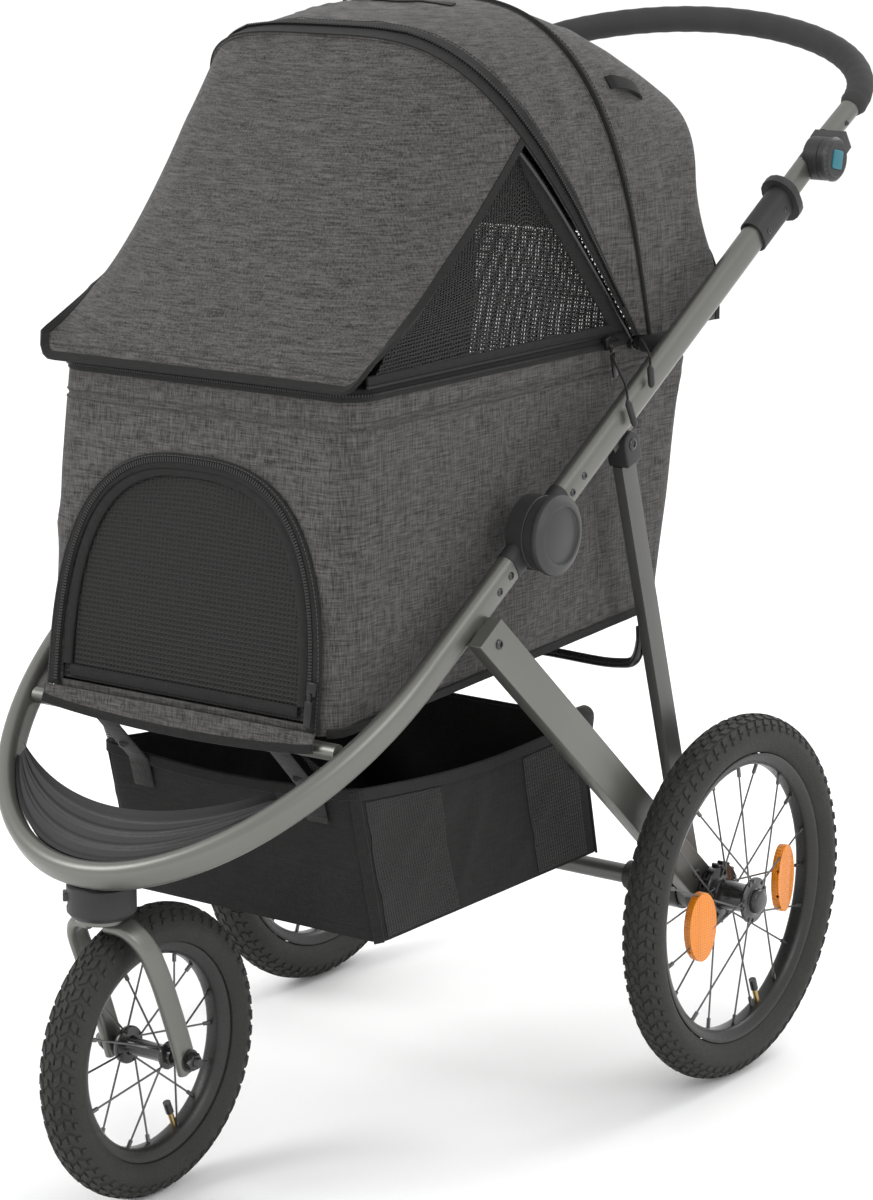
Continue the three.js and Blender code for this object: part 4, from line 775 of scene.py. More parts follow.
def bolt_head(name, centre, radius, height, side):
    """A low domed head with a hex socket, facing outwards along X."""
    dome = turned(name, [(0.0, 0.0), (0.0, radius), (height * 0.4, radius), (height * 0.85, radius * 0.8),
                         (height, radius * 0.5), (height * 0.45, radius * 0.42), (height * 0.45, 0.0)],
                  Vector(), side, 24)
    dome.data.transform(Matrix.Translation(centre))
    return dome


for side, s in sides:
    strut = refine("strut_" + side, "strut_tube_" + side, 0.0034, 4)
    give(strut, grey_paint, "axle_group", "titanium", "strut_" + side)
    rivet_face = strut_x + 0.0085
    rivets = join("strut_bolts_" + side,
                  *[paint(bolt_head("rivet", place, 0.0052, 0.0026, s), screw_steel) for place in (
        Vector((s * rivet_face, strut_top.y + 0.006, strut_top.z - 0.007)),
        Vector((s * rivet_face, axle.y - 0.030, axle.z + 0.028)))])
    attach(rivets, "axle_group")
    bracket = paint(sweep("strut_tab",
                          [Vector((s * (strut_x - 0.0088 - 0.0004), strut_top.y - 0.008,
                                   strut_top.z + 0.004)),
                                        Vector((s * (strut_x - 0.0088 - 0.0004), strut_top.y + 0.016,
                                                strut_top.z - 0.016))],
                          oval(0.030, 0.0022, 6), Vector((0, 0.7, 0.7))), grey_paint)
    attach(bracket, "lower_frame")
    bracket.name = "strut_tab_" + side
    leg = refine("rear_leg_" + side, "leg_tube_" + side, 0.0030, 4)
    give(leg, satin_tube, "rear_legs", "titanium", "rear_leg_" + side)
    cap = refine("leg_cap_" + side, "leg_top_" + side, 0.0022, 3)
    give(cap, black_moulding, "rear_legs", "black_plastic", "leg_cap_" + side)
    pin = paint(bolt_head("leg_pin_" + side, Vector((s * (leg_x + 0.0148), leg_top.y, leg_top.z)), 0.0062,
                          0.0022, s), screw_steel)
    pin.name = "leg_pin_" + side
    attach(pin, "rear_legs")
    hanger = paint(sweep("leg_hanger_" + side,
                         [on_frame(0.342, -0.0185, s * (leg_x - 0.0015)),
                          on_frame(0.382, -0.0185, s * (leg_x - 0.0015))],
                         oval(0.003, 0.016, 6), off_plane), grey_paint)
    hanger.name = "leg_hanger_" + side
    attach(hanger, "upper_frame")

leg_line = (Vector((0, leg_top.y, leg_top.z)) - Vector((0, axle.y, axle.z)))
leg_length = leg_line.length
leg_line.normalize()
leg_normal = Vector((0, -leg_line.z, leg_line.y))
brace_at = Vector((0, axle.y, axle.z)) + leg_line * (leg_length - 0.215)
brace_dip = Vector((0, axle.y, axle.z)) + leg_line * (leg_length - 0.257) + leg_normal * 0.012
brace_x = leg_x - 0.006 - 0.0004 - 0.0055
half_brace = [
    Vector((brace_x, brace_at.y, brace_at.z)),
    Vector((brace_x, (brace_at.y + brace_dip.y) / 2, (brace_at.z + brace_dip.z) / 2 + 0.006)),
    Vector((brace_x - 0.008, brace_dip.y, brace_dip.z + 0.006)),
    Vector((brace_x - 0.030, brace_dip.y, brace_dip.z)),
    Vector((brace_x - 0.120, brace_dip.y, brace_dip.z))]
brace_path = smooth_path(half_brace + [Vector((-p.x, p.y, p.z)) for p in reversed(half_brace)], 96)
brace = sweep("brace_tube", brace_path, circle(0.0055, 20), Vector((0, 1, 0.2)))
give(brace, gloss_black, "rear_legs", "black_metal", "leg_brace")

# ---- Rear axle, housings and brake pedal ----
# A painted tube joins two black housings that hold the struts and legs.
# The foot pedal for the parking brake turns on the tube by the left wheel.
axle_low, axle_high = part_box("rear_axle")
tube_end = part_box("axle_housing_left")[1].x
axle_bar = turned("axle_bar",
                  [(axle_low.x, 0.0), (axle_low.x, 0.0055), (axle_low.x + 0.0005, 0.006),
                   (-tube_end, 0.006),
                               (-tube_end, 0.0105), (tube_end, 0.0105), (tube_end, 0.006),
                               (axle_high.x - 0.0005, 0.006), (axle_high.x, 0.0055), (axle_high.x, 0.0)],
                  Vector((0, axle.y, axle.z)), 1, 40)
give(axle_bar, satin_tube, "axle_group", "titanium", "rear_axle")
for side, s in sides:
    housing = refine("axle_housing_" + side, "axle_block_" + side, 0.0012, 3, 28)
    give(housing, gloss_black, "axle_group", "black_plastic", "axle_housing_" + side)
pedal = refine("brake_pedal", "foot_pedal", 0.0016, 3, 28)
give(pedal, black_moulding, "brake", "black_plastic", "brake_pedal")
pad_ridge = paint(sweep("pedal_ridges",
                        [Vector((0.151 + 0.0003, axle.y + 0.060, axle.z + 0.0345)),
                         Vector((0.181, axle.y + 0.060, axle.z + 0.0345))],
                        circle(0.0012, 8), Vector((0, 0, 1))), black_moulding)
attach(pad_ridge, "brake")

# ---- Reflectors ----
# Amber ovals clip onto the rear spokes. Their prisms are pressed into the clear plastic.
def prism_amber():
    material = bpy.data.materials.new("prism_amber")
    material.use_nodes = True
    tree = material.node_tree
    shader = tree.nodes["Principled BSDF"]
    shader.inputs["Coat Weight"].default_value = 0.25
    shader.inputs["Roughness"].default_value = 0.22
    place = tree.nodes.new("ShaderNodeTexCoord")
    prisms = tree.nodes.new("ShaderNodeTexVoronoi")
    prisms.feature = "F1"
    prisms.inputs["Scale"].default_value = 330
    prisms.inputs["Randomness"].default_value = 0.0
    colour = tree.nodes.new("ShaderNodeMix")
    colour.data_type = "RGBA"
    colour.inputs[6].default_value = (0.86, 0.27, 0.004, 1)
    colour.inputs[7].default_value = (0.56, 0.15, 0.002, 1)
    bump = tree.nodes.new("ShaderNodeBump")
    bump.inputs["Distance"].default_value = 0.0012
    tree.links.new(place.outputs["Object"], prisms.inputs["Vector"])
    tree.links.new(prisms.outputs["Distance"], colour.inputs[0])
    tree.links.new(colour.outputs[2], shader.inputs["Base Color"])
    tree.links.new(prisms.outputs["Distance"], bump.inputs["Height"])
    tree.links.new(bump.outputs["Normal"], shader.inputs["Normal"])
    return material


amber = prism_amber()
for side, s in sides:
    for end in ("front", "back"):
        lens = refine("reflector_%s_%s" % (end, side), "lens_%s_%s" % (end, side), 0.0020, 3, 30)
        give(lens, amber, "rear_wheel_" + side, "amber", "reflector_%s_%s" % (end, side))

# ---- Release collars ----
# A black sleeve round each rail's end, with a finger flange at its top and a screw low on it.
# Pulled up the stem, it frees the fold.
collar_u = 0.656
for side, s in sides:
    sleeve = refine("release_collar_" + side, "collar_" + side, 0.0024, 4, 30)
    give(sleeve, black_moulding, "collar_" + side, "black_plastic", "release_collar_" + side)
    collar_parts = []
    for u, radius in ((collar_u + 0.012, 0.0034), (collar_u + 0.048, 0.0026)):
        place = on_frame(u, 0.0, s * (rail_x(u) + rail_width / 2 + 0.0034))
        collar_parts.append(paint(bolt_head("collar_screw", place, radius, 0.0012, s), screw_steel))
    screws = join("collar_screws_" + side, *collar_parts)
    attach(screws, "collar_" + side)

# ---- Handle, foam grip and tilt joints ----
# A round bent tube with a foam sleeve over the whole bend. Each end sits in a knuckle that
# turns on a disc at the stem's top, and a teal button in its middle lets it turn.
tilt = on_frame(tilt_u)
tilt_x = rail_x(tilt_u)
handle_u, handle_half_width, handle_reach, tube_u = 0.885, 0.256, 0.134, 0.8255
handle_path = (between(on_frame(tube_u, 0, tilt_x), on_frame(handle_u, 0, handle_half_width), 6)[:-1]
               + bend(handle_u, handle_half_width, handle_reach, 72)
               + between(on_frame(handle_u, 0, -handle_half_width), on_frame(tube_u, 0, -tilt_x), 6)[1:])
handle_tube = sweep("handle_tube", handle_path, circle(0.011, 28), off_plane)
give(handle_tube, grey_paint, "handle", "titanium", "handlebar")

foam = hard_finish("grip_foam", (0.020, 0.020, 0.020), (0.034, 0.034, 0.034), 0.0, 0.72, 0.92,
                   grain=1500, patch=26, depth=0.00035)
grip_path = ([on_frame(0.876, 0, handle_half_width - 0.0002)]
             + bend(handle_u, handle_half_width, handle_reach, 96)
             + [on_frame(0.876, 0, -handle_half_width + 0.0002)])
grip_radius = 0.0148


def grip_ring(share):
    ease = min(1.0, min(share, 1 - share) / 0.006)
    ripple = 0.00025 * math.sin(share * 190)
    return circle(0.0114 + (grip_radius + ripple - 0.0114) * math.sin(ease * math.pi / 2), 32)


grip = sweep("foam_grip", grip_path, grip_ring, off_plane, sharp=70)
give(grip, foam, "handle", "foam", "handle_grip")

teal_plastic = hard_finish("teal_plastic", (0.010, 0.115, 0.150), (0.018, 0.155, 0.195), 0.0, 0.34, 0.5,
                           grain=900, patch=30, depth=0.00005)
disc_radius = 0.0235
tilt_inner = tilt_x + stem_width / 2
tilt_seat = tilt_inner + 0.010 + 0.0006
tilt_face = tilt_seat + 0.013
for side, s in sides:
    back_disc = refine("tilt_inner_" + side, "tilt_disc_inner_" + side, 0.0012, 3, 28)
    give(back_disc, black_moulding, "upper_frame", "black_plastic", "tilt_inner_" + side)
    knuckle = refine("tilt_outer_" + side, "tilt_knuckle_" + side, 0.0014, 3, 28)
    give(knuckle, black_moulding, "handle", "black_plastic", "tilt_outer_" + side)
    rim_ring = turned("tilt_rim_" + side, [
        (tilt_face - 0.0065, disc_radius - 0.0006), (tilt_face - 0.0060, disc_radius + 0.0006),
        (tilt_face - 0.0034, disc_radius + 0.0004),
        (tilt_face - 0.0006, disc_radius - 0.0026), (tilt_face + 0.0002, disc_radius - 0.0050),
        (tilt_face - 0.0006, disc_radius - 0.0062), (tilt_face - 0.0020, disc_radius - 0.0060)],
        tilt, s, 72, ends="joined")
    give(rim_ring, cap_plastic, "handle", "black_plastic")
    button = refine("tilt_button_" + side, "tilt_push_" + side, 0.0011, 3)
    give(button, teal_plastic, "button_" + side, "teal", "tilt_button_" + side)
    neck_screw = paint(bolt_head("neck_screw_" + side, on_frame(0.851, 0.0, s * (0.2535 + 0.0110)), 0.0030,
                                 0.0012, s), screw_steel)
    neck_screw.name = "neck_screw_" + side
    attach(neck_screw, "handle")
    rail_screws = []
    for u, n in ((0.1966 - 0.062, 0.0), (0.1966 - 0.084, -0.001)):
        rail_screws.append(paint(bolt_head("rail_screw",
                                           on_frame(u, n, s * (rail_x(u) + rail_width / 2 - 0.0003)),
                                           0.0042, 0.0018, s), screw_steel))
    lower_screws = join("rail_screws_lower_" + side, *rail_screws)
    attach(lower_screws, "lower_frame")
    rail_screws = []
    for u, n in ((0.1966 + 0.060, 0.0), (0.1966 + 0.084, 0.001)):
        rail_screws.append(paint(bolt_head("rail_screw",
                                           on_frame(u, n, s * (rail_x(u) + rail_width / 2 - 0.0003)),
                                           0.0042, 0.0018, s), screw_steel))
    upper_screws = join("rail_screws_upper_" + side, *rail_screws)
    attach(upper_screws, "upper_frame")

# ---- Cabin ----
# An open-topped body of heathered grey polyester over a stiff floor, with rounded corners.
# A felled seam runs round near the top, and the front has an arched hole for the door.
def heather_weave():
    group = bpy.data.node_groups.new("HeatherWeave", "ShaderNodeTree")
    face = group.interface
    face.new_socket("Thread Scale", in_out="INPUT", socket_type="NodeSocketFloat").default_value = 620
    face.new_socket("Fleck", in_out="OUTPUT", socket_type="NodeSocketFloat")
    face.new_socket("Height", in_out="OUTPUT", socket_type="NodeSocketFloat")
    given, put_out = group.nodes.new("NodeGroupInput"), group.nodes.new("NodeGroupOutput")
    place = group.nodes.new("ShaderNodeTexCoord")
    threads = []
    for stretch in ((0.075, 0.075, 1.0), (1.0, 1.0, 0.075)):
        scaled = group.nodes.new("ShaderNodeVectorMath")
        scaled.operation = "MULTIPLY"
        scaled.inputs[1].default_value = stretch
        yarn = group.nodes.new("ShaderNodeTexNoise")
        yarn.inputs["Detail"].default_value = 2.5
        yarn.inputs["Roughness"].default_value = 0.65
        group.links.new(place.outputs["Object"], scaled.inputs[0])
        group.links.new(scaled.outputs[0], yarn.inputs["Vector"])
        group.links.new(given.outputs["Thread Scale"], yarn.inputs["Scale"])
        threads.append(yarn)
    both = group.nodes.new("ShaderNodeMath")
    both.operation = "ADD"
    spread = group.nodes.new("ShaderNodeMapRange")
    spread.inputs["From Min"].default_value = 0.72
    spread.inputs["From Max"].default_value = 1.28
    group.links.new(threads[0].outputs["Fac"], both.inputs[0])
    group.links.new(threads[1].outputs["Fac"], both.inputs[1])
    group.links.new(both.outputs[0], spread.inputs["Value"])
    group.links.new(spread.outputs["Result"], put_out.inputs["Fleck"])
    group.links.new(both.outputs[0], put_out.inputs["Height"])
    return group


weave_group = heather_weave()


def cloth_finish(name, dark, light, depth=0.0004, threads=620, sheen=0.12):
    material = bpy.data.materials.new(name)
    material.use_nodes = True
    tree = material.node_tree
    shader = tree.nodes["Principled BSDF"]
    shader.inputs["Roughness"].default_value = 0.88
    shader.inputs["Specular IOR Level"].default_value = 0.25
    shader.inputs["Sheen Weight"].default_value = sheen
    shader.inputs["Sheen Roughness"].default_value = 0.5
    group = tree.nodes.new("ShaderNodeGroup")
    group.node_tree = weave_group
    group.inputs["Thread Scale"].default_value = threads
    colour = tree.nodes.new("ShaderNodeMix")
    colour.data_type = "RGBA"
    colour.inputs[6].default_value = (*dark, 1)
    colour.inputs[7].default_value = (*light, 1)
    bump = tree.nodes.new("ShaderNodeBump")
    bump.inputs["Distance"].default_value = depth
    bump.inputs["Strength"].default_value = 0.7
    tree.links.new(group.outputs["Fleck"], colour.inputs[0])
    tree.links.new(colour.outputs[2], shader.inputs["Base Color"])
    tree.links.new(group.outputs["Height"], bump.inputs["Height"])
    tree.links.new(bump.outputs["Normal"], shader.inputs["Normal"])
    return material


heather = cloth_finish("heather_polyester", (0.015, 0.0143, 0.0142), (0.098, 0.094, 0.091), sheen=0.05)
binding_tape = cloth_finish("binding_tape", (0.007, 0.007, 0.007), (0.016, 0.016, 0.0155), 0.0003, 900,
                            0.03)
front_foot = Vector((0, axle.y - 0.578, 0.481))
cabin_top, cabin_half, cloth_thick = 0.812, 0.187, 0.0026
front_up = Vector((0, 0.040, 0.331)).normalized()
front_out = Vector((0, -0.331, 0.040)).normalized()
door_half, door_height, door_sill = 0.157, 0.232, 0.012


def on_front(x, up, out=0.0):
    return front_foot + Vector((x, 0, 0)) + front_up * up + front_out * out


def arch(half, height, sill, steps, power=0.72):
    turns = [math.pi * i / steps for i in range(steps + 1)]
    return [(math.copysign(abs(math.cos(t)) ** power, math.cos(t)) * half,
             sill + abs(math.sin(t)) ** power * height) for t in turns]


def fold_noise(q, along, seed):
    ridge = 1 - abs(noise.noise(Vector((q * 15, along * 3.2, seed))) * 2.2)
    soft = noise.noise(Vector((q * 5, along * 4, seed + 9)))
    return 0.0036 * max(0.0, ridge) ** 4 + 0.0030 * soft


def around(half, front, back, radius, sides_n=44, ends_n=34, turns_n=9):
    """Points of a rounded oblong with the outward direction at each."""
    spots = []
    for cx, cy, start in ((half - radius, back - radius, 90), (half - radius, front + radius, 0),
                          (-half + radius, front + radius, -90), (-half + radius, back - radius, -180)):
        for i in range(turns_n + 1):
            t = math.radians(start - 90 * i / turns_n)
            out = Vector((math.cos(t), math.sin(t), 0))
            spots.append((Vector((cx, cy, 0)) + out * radius, out))
        last = len(spots) - 1
        spots.append((last, sides_n if start in (90, -90) else ends_n))
    filled = []
    corners = [k for k, spot in enumerate(spots) if isinstance(spot[0], int)]
    for k, spot in enumerate(spots):
        if not isinstance(spot[0], int):
            filled.append(spot)
            continue
        a, b = spots[k - 1], spots[(k + 1) % len(spots)]
        for i in range(1, spot[1]):
            filled.append((a[0].lerp(b[0], i / spot[1]), a[1]))
    return filled


def cabin_bottom(y):
    return 0.481 + (y - front_foot.y) * 0.029 / 0.585


def cabin_spot(share, inset, lift=0.0):
    height = 0.481 + share * 0.331
    back = axle.y + float(np.interp(height, (0.51, 0.64, 0.812), (0.007, 0.032, 0.062)))
    front = front_foot.y + 0.040 * share
    ring = []
    for place, out in around(cabin_half, front, back, 0.030):
        low = cabin_bottom(place.y)
        z = low + share * (cabin_top - low)
        along = (place.y - front) / (back - front)
        hang = math.sin(math.pi * min(max(share, 0), 1)) ** 0.6
        swell = 0.0
        if abs(out.x) > 0.6:
            slant_q, slant_a = 0.83 * place.y - 0.55 * z, 0.55 * place.y + 0.83 * z
            swell = hang * (0.0055 * math.sin(math.pi * along) + fold_noise(slant_q, slant_a, 3 + out.x))
        elif out.y < 0:
            swell = hang * 0.0022 * (0.5 + noise.noise(Vector((place.x * 9, z * 12, 1))))
        seam = 0.0016 * math.exp(-((z - (cabin_top - 0.036)) / 0.0022) ** 2)
        point = place + out * (swell - seam - inset)
        ring.append(Vector((point.x, point.y, z + lift)))
    return ring


shares = [0.008, 0.02, 0.04] + [0.04 + 0.80 * i / 30 for i in range(1, 31)] + [
    0.858, 0.868, 0.876, 0.882, 0.887, 0.890, 0.893, 0.897, 0.903, 0.911, 0.92, 0.945, 0.97, 0.99, 1.0]
outside = ([cabin_spot(0.0, 0.028), cabin_spot(0.0, 0.010), cabin_spot(0.002, 0.0045)]
           + [cabin_spot(share, 0.0018 * max(0, 1 - share / 0.02)) for share in shares])
inside = ([cabin_spot(share, cloth_thick) for share in reversed(shares) if share > 0.03]
          + [cabin_spot(0.012, cloth_thick + 0.003), cabin_spot(0.0, 0.012, 0.0035),
             cabin_spot(0.0, 0.028, 0.0035)])
cabin_body = loft("cabin_body", outside + inside, sharp=50)


def rounded_box(name, low, high, radius):
    """A box whose corners are rounded as seen along Y."""
    outline = []
    for cx, cz, start in ((high.x - radius, high.z - radius, 0), (low.x + radius, high.z - radius, 90),
                          (low.x + radius, low.z + radius, 180), (high.x - radius, low.z + radius, 270)):
        for i in range(9):
            t = math.radians(start + 90 * i / 8)
            outline.append((cx + radius * math.cos(t), cz + radius * math.sin(t)))
    return loft(name, [[Vector((x, y, z)) for x, z in outline] for y in (low.y, high.y)])


hole_outline = arch(door_half + 0.0005, door_height + 0.0005, door_sill - 0.0005, 72)
hole_ring = [on_front(x, up, 0.04) for x, up in hole_outline]
door_cutter = loft("door_cutter", [hole_ring, [p - front_out * 0.08 for p in hole_ring]])
hole = cabin_body.modifiers.new("door_hole", "BOOLEAN")
hole.object = door_cutter
hole.solver = "EXACT"
apply_modifiers(cabin_body)
bpy.data.objects.remove(door_cutter)
back_half, back_foot = 0.112, 0.650
back_hole = rounded_box("back_hole", Vector((-back_half, axle.y - 0.01, back_foot)),
                        Vector((back_half, axle.y + 0.09, cabin_top + 0.05)), 0.022)
hole = cabin_body.modifiers.new("back_hole", "BOOLEAN")
hole.object = back_hole
hole.solver = "EXACT"
apply_modifiers(cabin_body)
bpy.data.objects.remove(back_hole)
cabin_body.data.shade_smooth()
cabin_body.data.set_sharp_from_angle(angle=math.radians(50))
give(cabin_body, heather, "lower_frame", "charcoal_cloth", "cabin")

# ---- Cabin seams and rim ----
# Dark tape binds the rim and carries half of the zip that holds the windows and roof.
# Twin rows of stitches follow the seam below it.
def along_line_tree():
    tree = bpy.data.node_groups.new("RepeatAlongLine", "GeometryNodeTree")
    face = tree.interface
    face.new_socket("Line", in_out="INPUT", socket_type="NodeSocketGeometry")
    face.new_socket("Spacing", in_out="INPUT", socket_type="NodeSocketFloat")
    face.new_socket("Size", in_out="INPUT", socket_type="NodeSocketVector")
    face.new_socket("Material", in_out="INPUT", socket_type="NodeSocketMaterial")
    face.new_socket("Shape", in_out="OUTPUT", socket_type="NodeSocketGeometry")
    given, put_out = tree.nodes.new("NodeGroupInput"), tree.nodes.new("NodeGroupOutput")
    curve = tree.nodes.new("GeometryNodeMeshToCurve")
    points = tree.nodes.new("GeometryNodeCurveToPoints")
    points.mode = "LENGTH"
    cube = tree.nodes.new("GeometryNodeMeshCube")
    copies = tree.nodes.new("GeometryNodeInstanceOnPoints")
    real = tree.nodes.new("GeometryNodeRealizeInstances")
    painted = tree.nodes.new("GeometryNodeSetMaterial")
    for start, end in (
        (given.outputs["Line"], curve.inputs["Mesh"]),
        (curve.outputs[0], points.inputs["Curve"]),
        (given.outputs["Spacing"], points.inputs["Length"]),
        (given.outputs["Size"], cube.inputs["Size"]),
        (points.outputs["Points"], copies.inputs["Points"]),
        (cube.outputs["Mesh"], copies.inputs["Instance"]),
        (points.outputs["Rotation"], copies.inputs["Rotation"]),
        (copies.outputs[0], real.inputs[0]),
        (real.outputs[0], painted.inputs["Geometry"]),
        (given.outputs["Material"], painted.inputs["Material"]),
        (painted.outputs[0], put_out.inputs[0]),
    ):
        tree.links.new(start, end)
    return tree


along_line = along_line_tree()


def repeat_along(name, path, spacing, size, material):
    mesh = bpy.data.meshes.new(name)
    mesh.from_pydata([tuple(p) for p in path], [(i, i + 1) for i in range(len(path) - 1)], [])
    line = bpy.data.objects.new(name, mesh)
    scene.collection.objects.link(line)
    modifier = line.modifiers.new("along_line", "NODES")
    modifier.node_group = along_line
    set_inputs(modifier, along_line, {"Spacing": spacing, "Size": size, "Material": material})
    return apply_modifiers(line)


def ribbon(name, path, normals, width, thick, closed=False, shift=0.0):
    """A flat strip along a path, lying on the surface whose normals are given."""
    rings = []
    count = len(path)
    for i, (place, normal) in enumerate(zip(path, normals)):
        if closed:
            along = path[(i + 1) % count] - path[i - 1]
        else:
            along = path[min(i + 1, count - 1)] - path[max(i - 1, 0)]
        side = along.cross(normal).normalized()
        half, low, high = width / 2, normal * -thick / 2, normal * thick / 2
        centre = place + side * shift
        rings.append([centre - side * half + low, centre - side * half + high * 0.2,
                      centre - side * half * 0.86 + high, centre + side * half * 0.86 + high,
                      centre + side * half + high * 0.2, centre + side * half + low])
    return loft(name, rings, "joined" if closed else "capped", sharp=50)


stitch_thread = hard_finish("stitch_thread", (0.035, 0.034, 0.033), (0.055, 0.053, 0.052), 0.0, 0.6, 0.8,
                            depth=0.00005)
zip_teeth = hard_finish("zip_teeth", (0.012, 0.012, 0.012), (0.020, 0.020, 0.020), 0.0, 0.30, 0.42,
                        depth=0.00003)
zip_metal = hard_finish("zip_slider", (0.018, 0.018, 0.018), (0.03, 0.03, 0.03), 0.6, 0.25, 0.36,
                        depth=0.00003)
outward = [out for place, out in around(cabin_half, 0.0, 0.5, 0.030)]


def with_cabin(piece):
    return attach(piece, "lower_frame")


def on_cabin(share, out):
    return cabin_spot(share, -out)


def past_back_window(share, out):
    """The cabin's outline, begun and ended at the back window's two sides."""
    ring = list(zip(on_cabin(share, out), outward))
    behind = [k for k, (p, way) in enumerate(ring) if way.y > 0.99 and abs(p.x) < back_half + 0.004]
    return ring[behind[-1] + 1:] + ring[:behind[0]]


rim_line = past_back_window(0.984, 0.0008)
rim_tape = ribbon("rim_tape", [p for p, way in rim_line], [way for p, way in rim_line], 0.013, 0.0026)
with_cabin(paint(rim_tape, binding_tape))
rim_zip = repeat_along("rim_zip", [p for p, way in past_back_window(0.984, 0.0026)], 0.0030,
                       (0.0030, 0.0022, 0.0017), zip_teeth)
with_cabin(rim_zip)
for name, share in (("seam_stitches_upper", 0.903), ("seam_stitches_lower", 0.880)):
    row = repeat_along(name, [p for p, way in past_back_window(share, 0.0004)], 0.0042,
                       (0.0008, 0.0008, 0.0028), stitch_thread)
    with_cabin(row)
for side, s in sides:
    hem = [p for p in on_cabin(0.012, 0.0012) if s * p.x > cabin_half - 0.012]
    hem_tape = ribbon("hem_tape_" + side, hem, [Vector((s, 0, -0.25)).normalized()] * len(hem), 0.010,
                      0.0024)
    with_cabin(paint(hem_tape, binding_tape))

# ---- Front door ----
# A panel of ribbed black mesh in an arch, closed by a zip all round but its foot.
# The zip's other half is sewn round the hole, and its slider stops at the lower right.
def mesh_holes():
    group = bpy.data.node_groups.new("MeshHoles", "ShaderNodeTree")
    face = group.interface
    face.new_socket("Pitch", in_out="INPUT", socket_type="NodeSocketFloat").default_value = 0.004
    face.new_socket("Solid", in_out="OUTPUT", socket_type="NodeSocketFloat")
    face.new_socket("Height", in_out="OUTPUT", socket_type="NodeSocketFloat")
    given, put_out = group.nodes.new("NodeGroupInput"), group.nodes.new("NodeGroupOutput")
    place = group.nodes.new("ShaderNodeUVMap")
    place.uv_map = "cloth"
    parts = group.nodes.new("ShaderNodeSeparateXYZ")
    group.links.new(place.outputs[0], parts.inputs[0])
    waves = []
    for axis in ("X", "Y"):
        turn = group.nodes.new("ShaderNodeMath")
        turn.operation = "DIVIDE"
        full = group.nodes.new("ShaderNodeMath")
        full.operation = "MULTIPLY"
        full.inputs[1].default_value = 2 * math.pi
        wave = group.nodes.new("ShaderNodeMath")
        wave.operation = "SINE"
        group.links.new(parts.outputs[axis], turn.inputs[0])
        group.links.new(given.outputs["Pitch"], turn.inputs[1])
        group.links.new(turn.outputs[0], full.inputs[0])
        group.links.new(full.outputs[0], wave.inputs[0])
        waves.append(wave)
    product = group.nodes.new("ShaderNodeMath")
    product.operation = "MAXIMUM"
    solid = group.nodes.new("ShaderNodeMapRange")
    solid.inputs["From Min"].default_value = 0.18
    solid.inputs["From Max"].default_value = 0.42
    group.links.new(waves[0].outputs[0], product.inputs[0])
    group.links.new(waves[1].outputs[0], product.inputs[1])
    group.links.new(product.outputs[0], solid.inputs["Value"])
    group.links.new(solid.outputs["Result"], put_out.inputs["Solid"])
    group.links.new(product.outputs[0], put_out.inputs["Height"])
    return group


holes_group = mesh_holes()


def mesh_finish(name, colour, pitch, fill):
    """fill is how much of each hole is closed by the fine threads in it."""
    material = bpy.data.materials.new(name)
    material.use_nodes = True
    tree = material.node_tree
    shader = tree.nodes["Principled BSDF"]
    shader.inputs["Base Color"].default_value = (*colour, 1)
    shader.inputs["Roughness"].default_value = 0.6
    shader.inputs["Specular IOR Level"].default_value = 0.25
    group = tree.nodes.new("ShaderNodeGroup")
    group.node_tree = holes_group
    group.inputs["Pitch"].default_value = pitch
    cover = tree.nodes.new("ShaderNodeMapRange")
    cover.inputs["To Min"].default_value = fill
    bump = tree.nodes.new("ShaderNodeBump")
    bump.inputs["Distance"].default_value = 0.0006
    tree.links.new(group.outputs["Solid"], cover.inputs["Value"])
    tree.links.new(cover.outputs["Result"], shader.inputs["Alpha"])
    tree.links.new(group.outputs["Height"], bump.inputs["Height"])
    tree.links.new(bump.outputs["Normal"], shader.inputs["Normal"])
    return material


door_mesh = mesh_finish("ribbed_mesh", (0.009, 0.009, 0.0085), 0.0050, 0.93)
window_mesh = mesh_finish("window_mesh", (0.010, 0.010, 0.0095), 0.0044, 0.16)


def grid_normals(rows):
    count, width = len(rows), len(rows[0])
    return [[(rows[min(i + 1, count - 1)][j] - rows[max(i - 1, 0)][j]).cross(
        rows[i][min(j + 1, width - 1)] - rows[i][max(j - 1, 0)]).normalized()
        for j in range(width)] for i in range(count)]


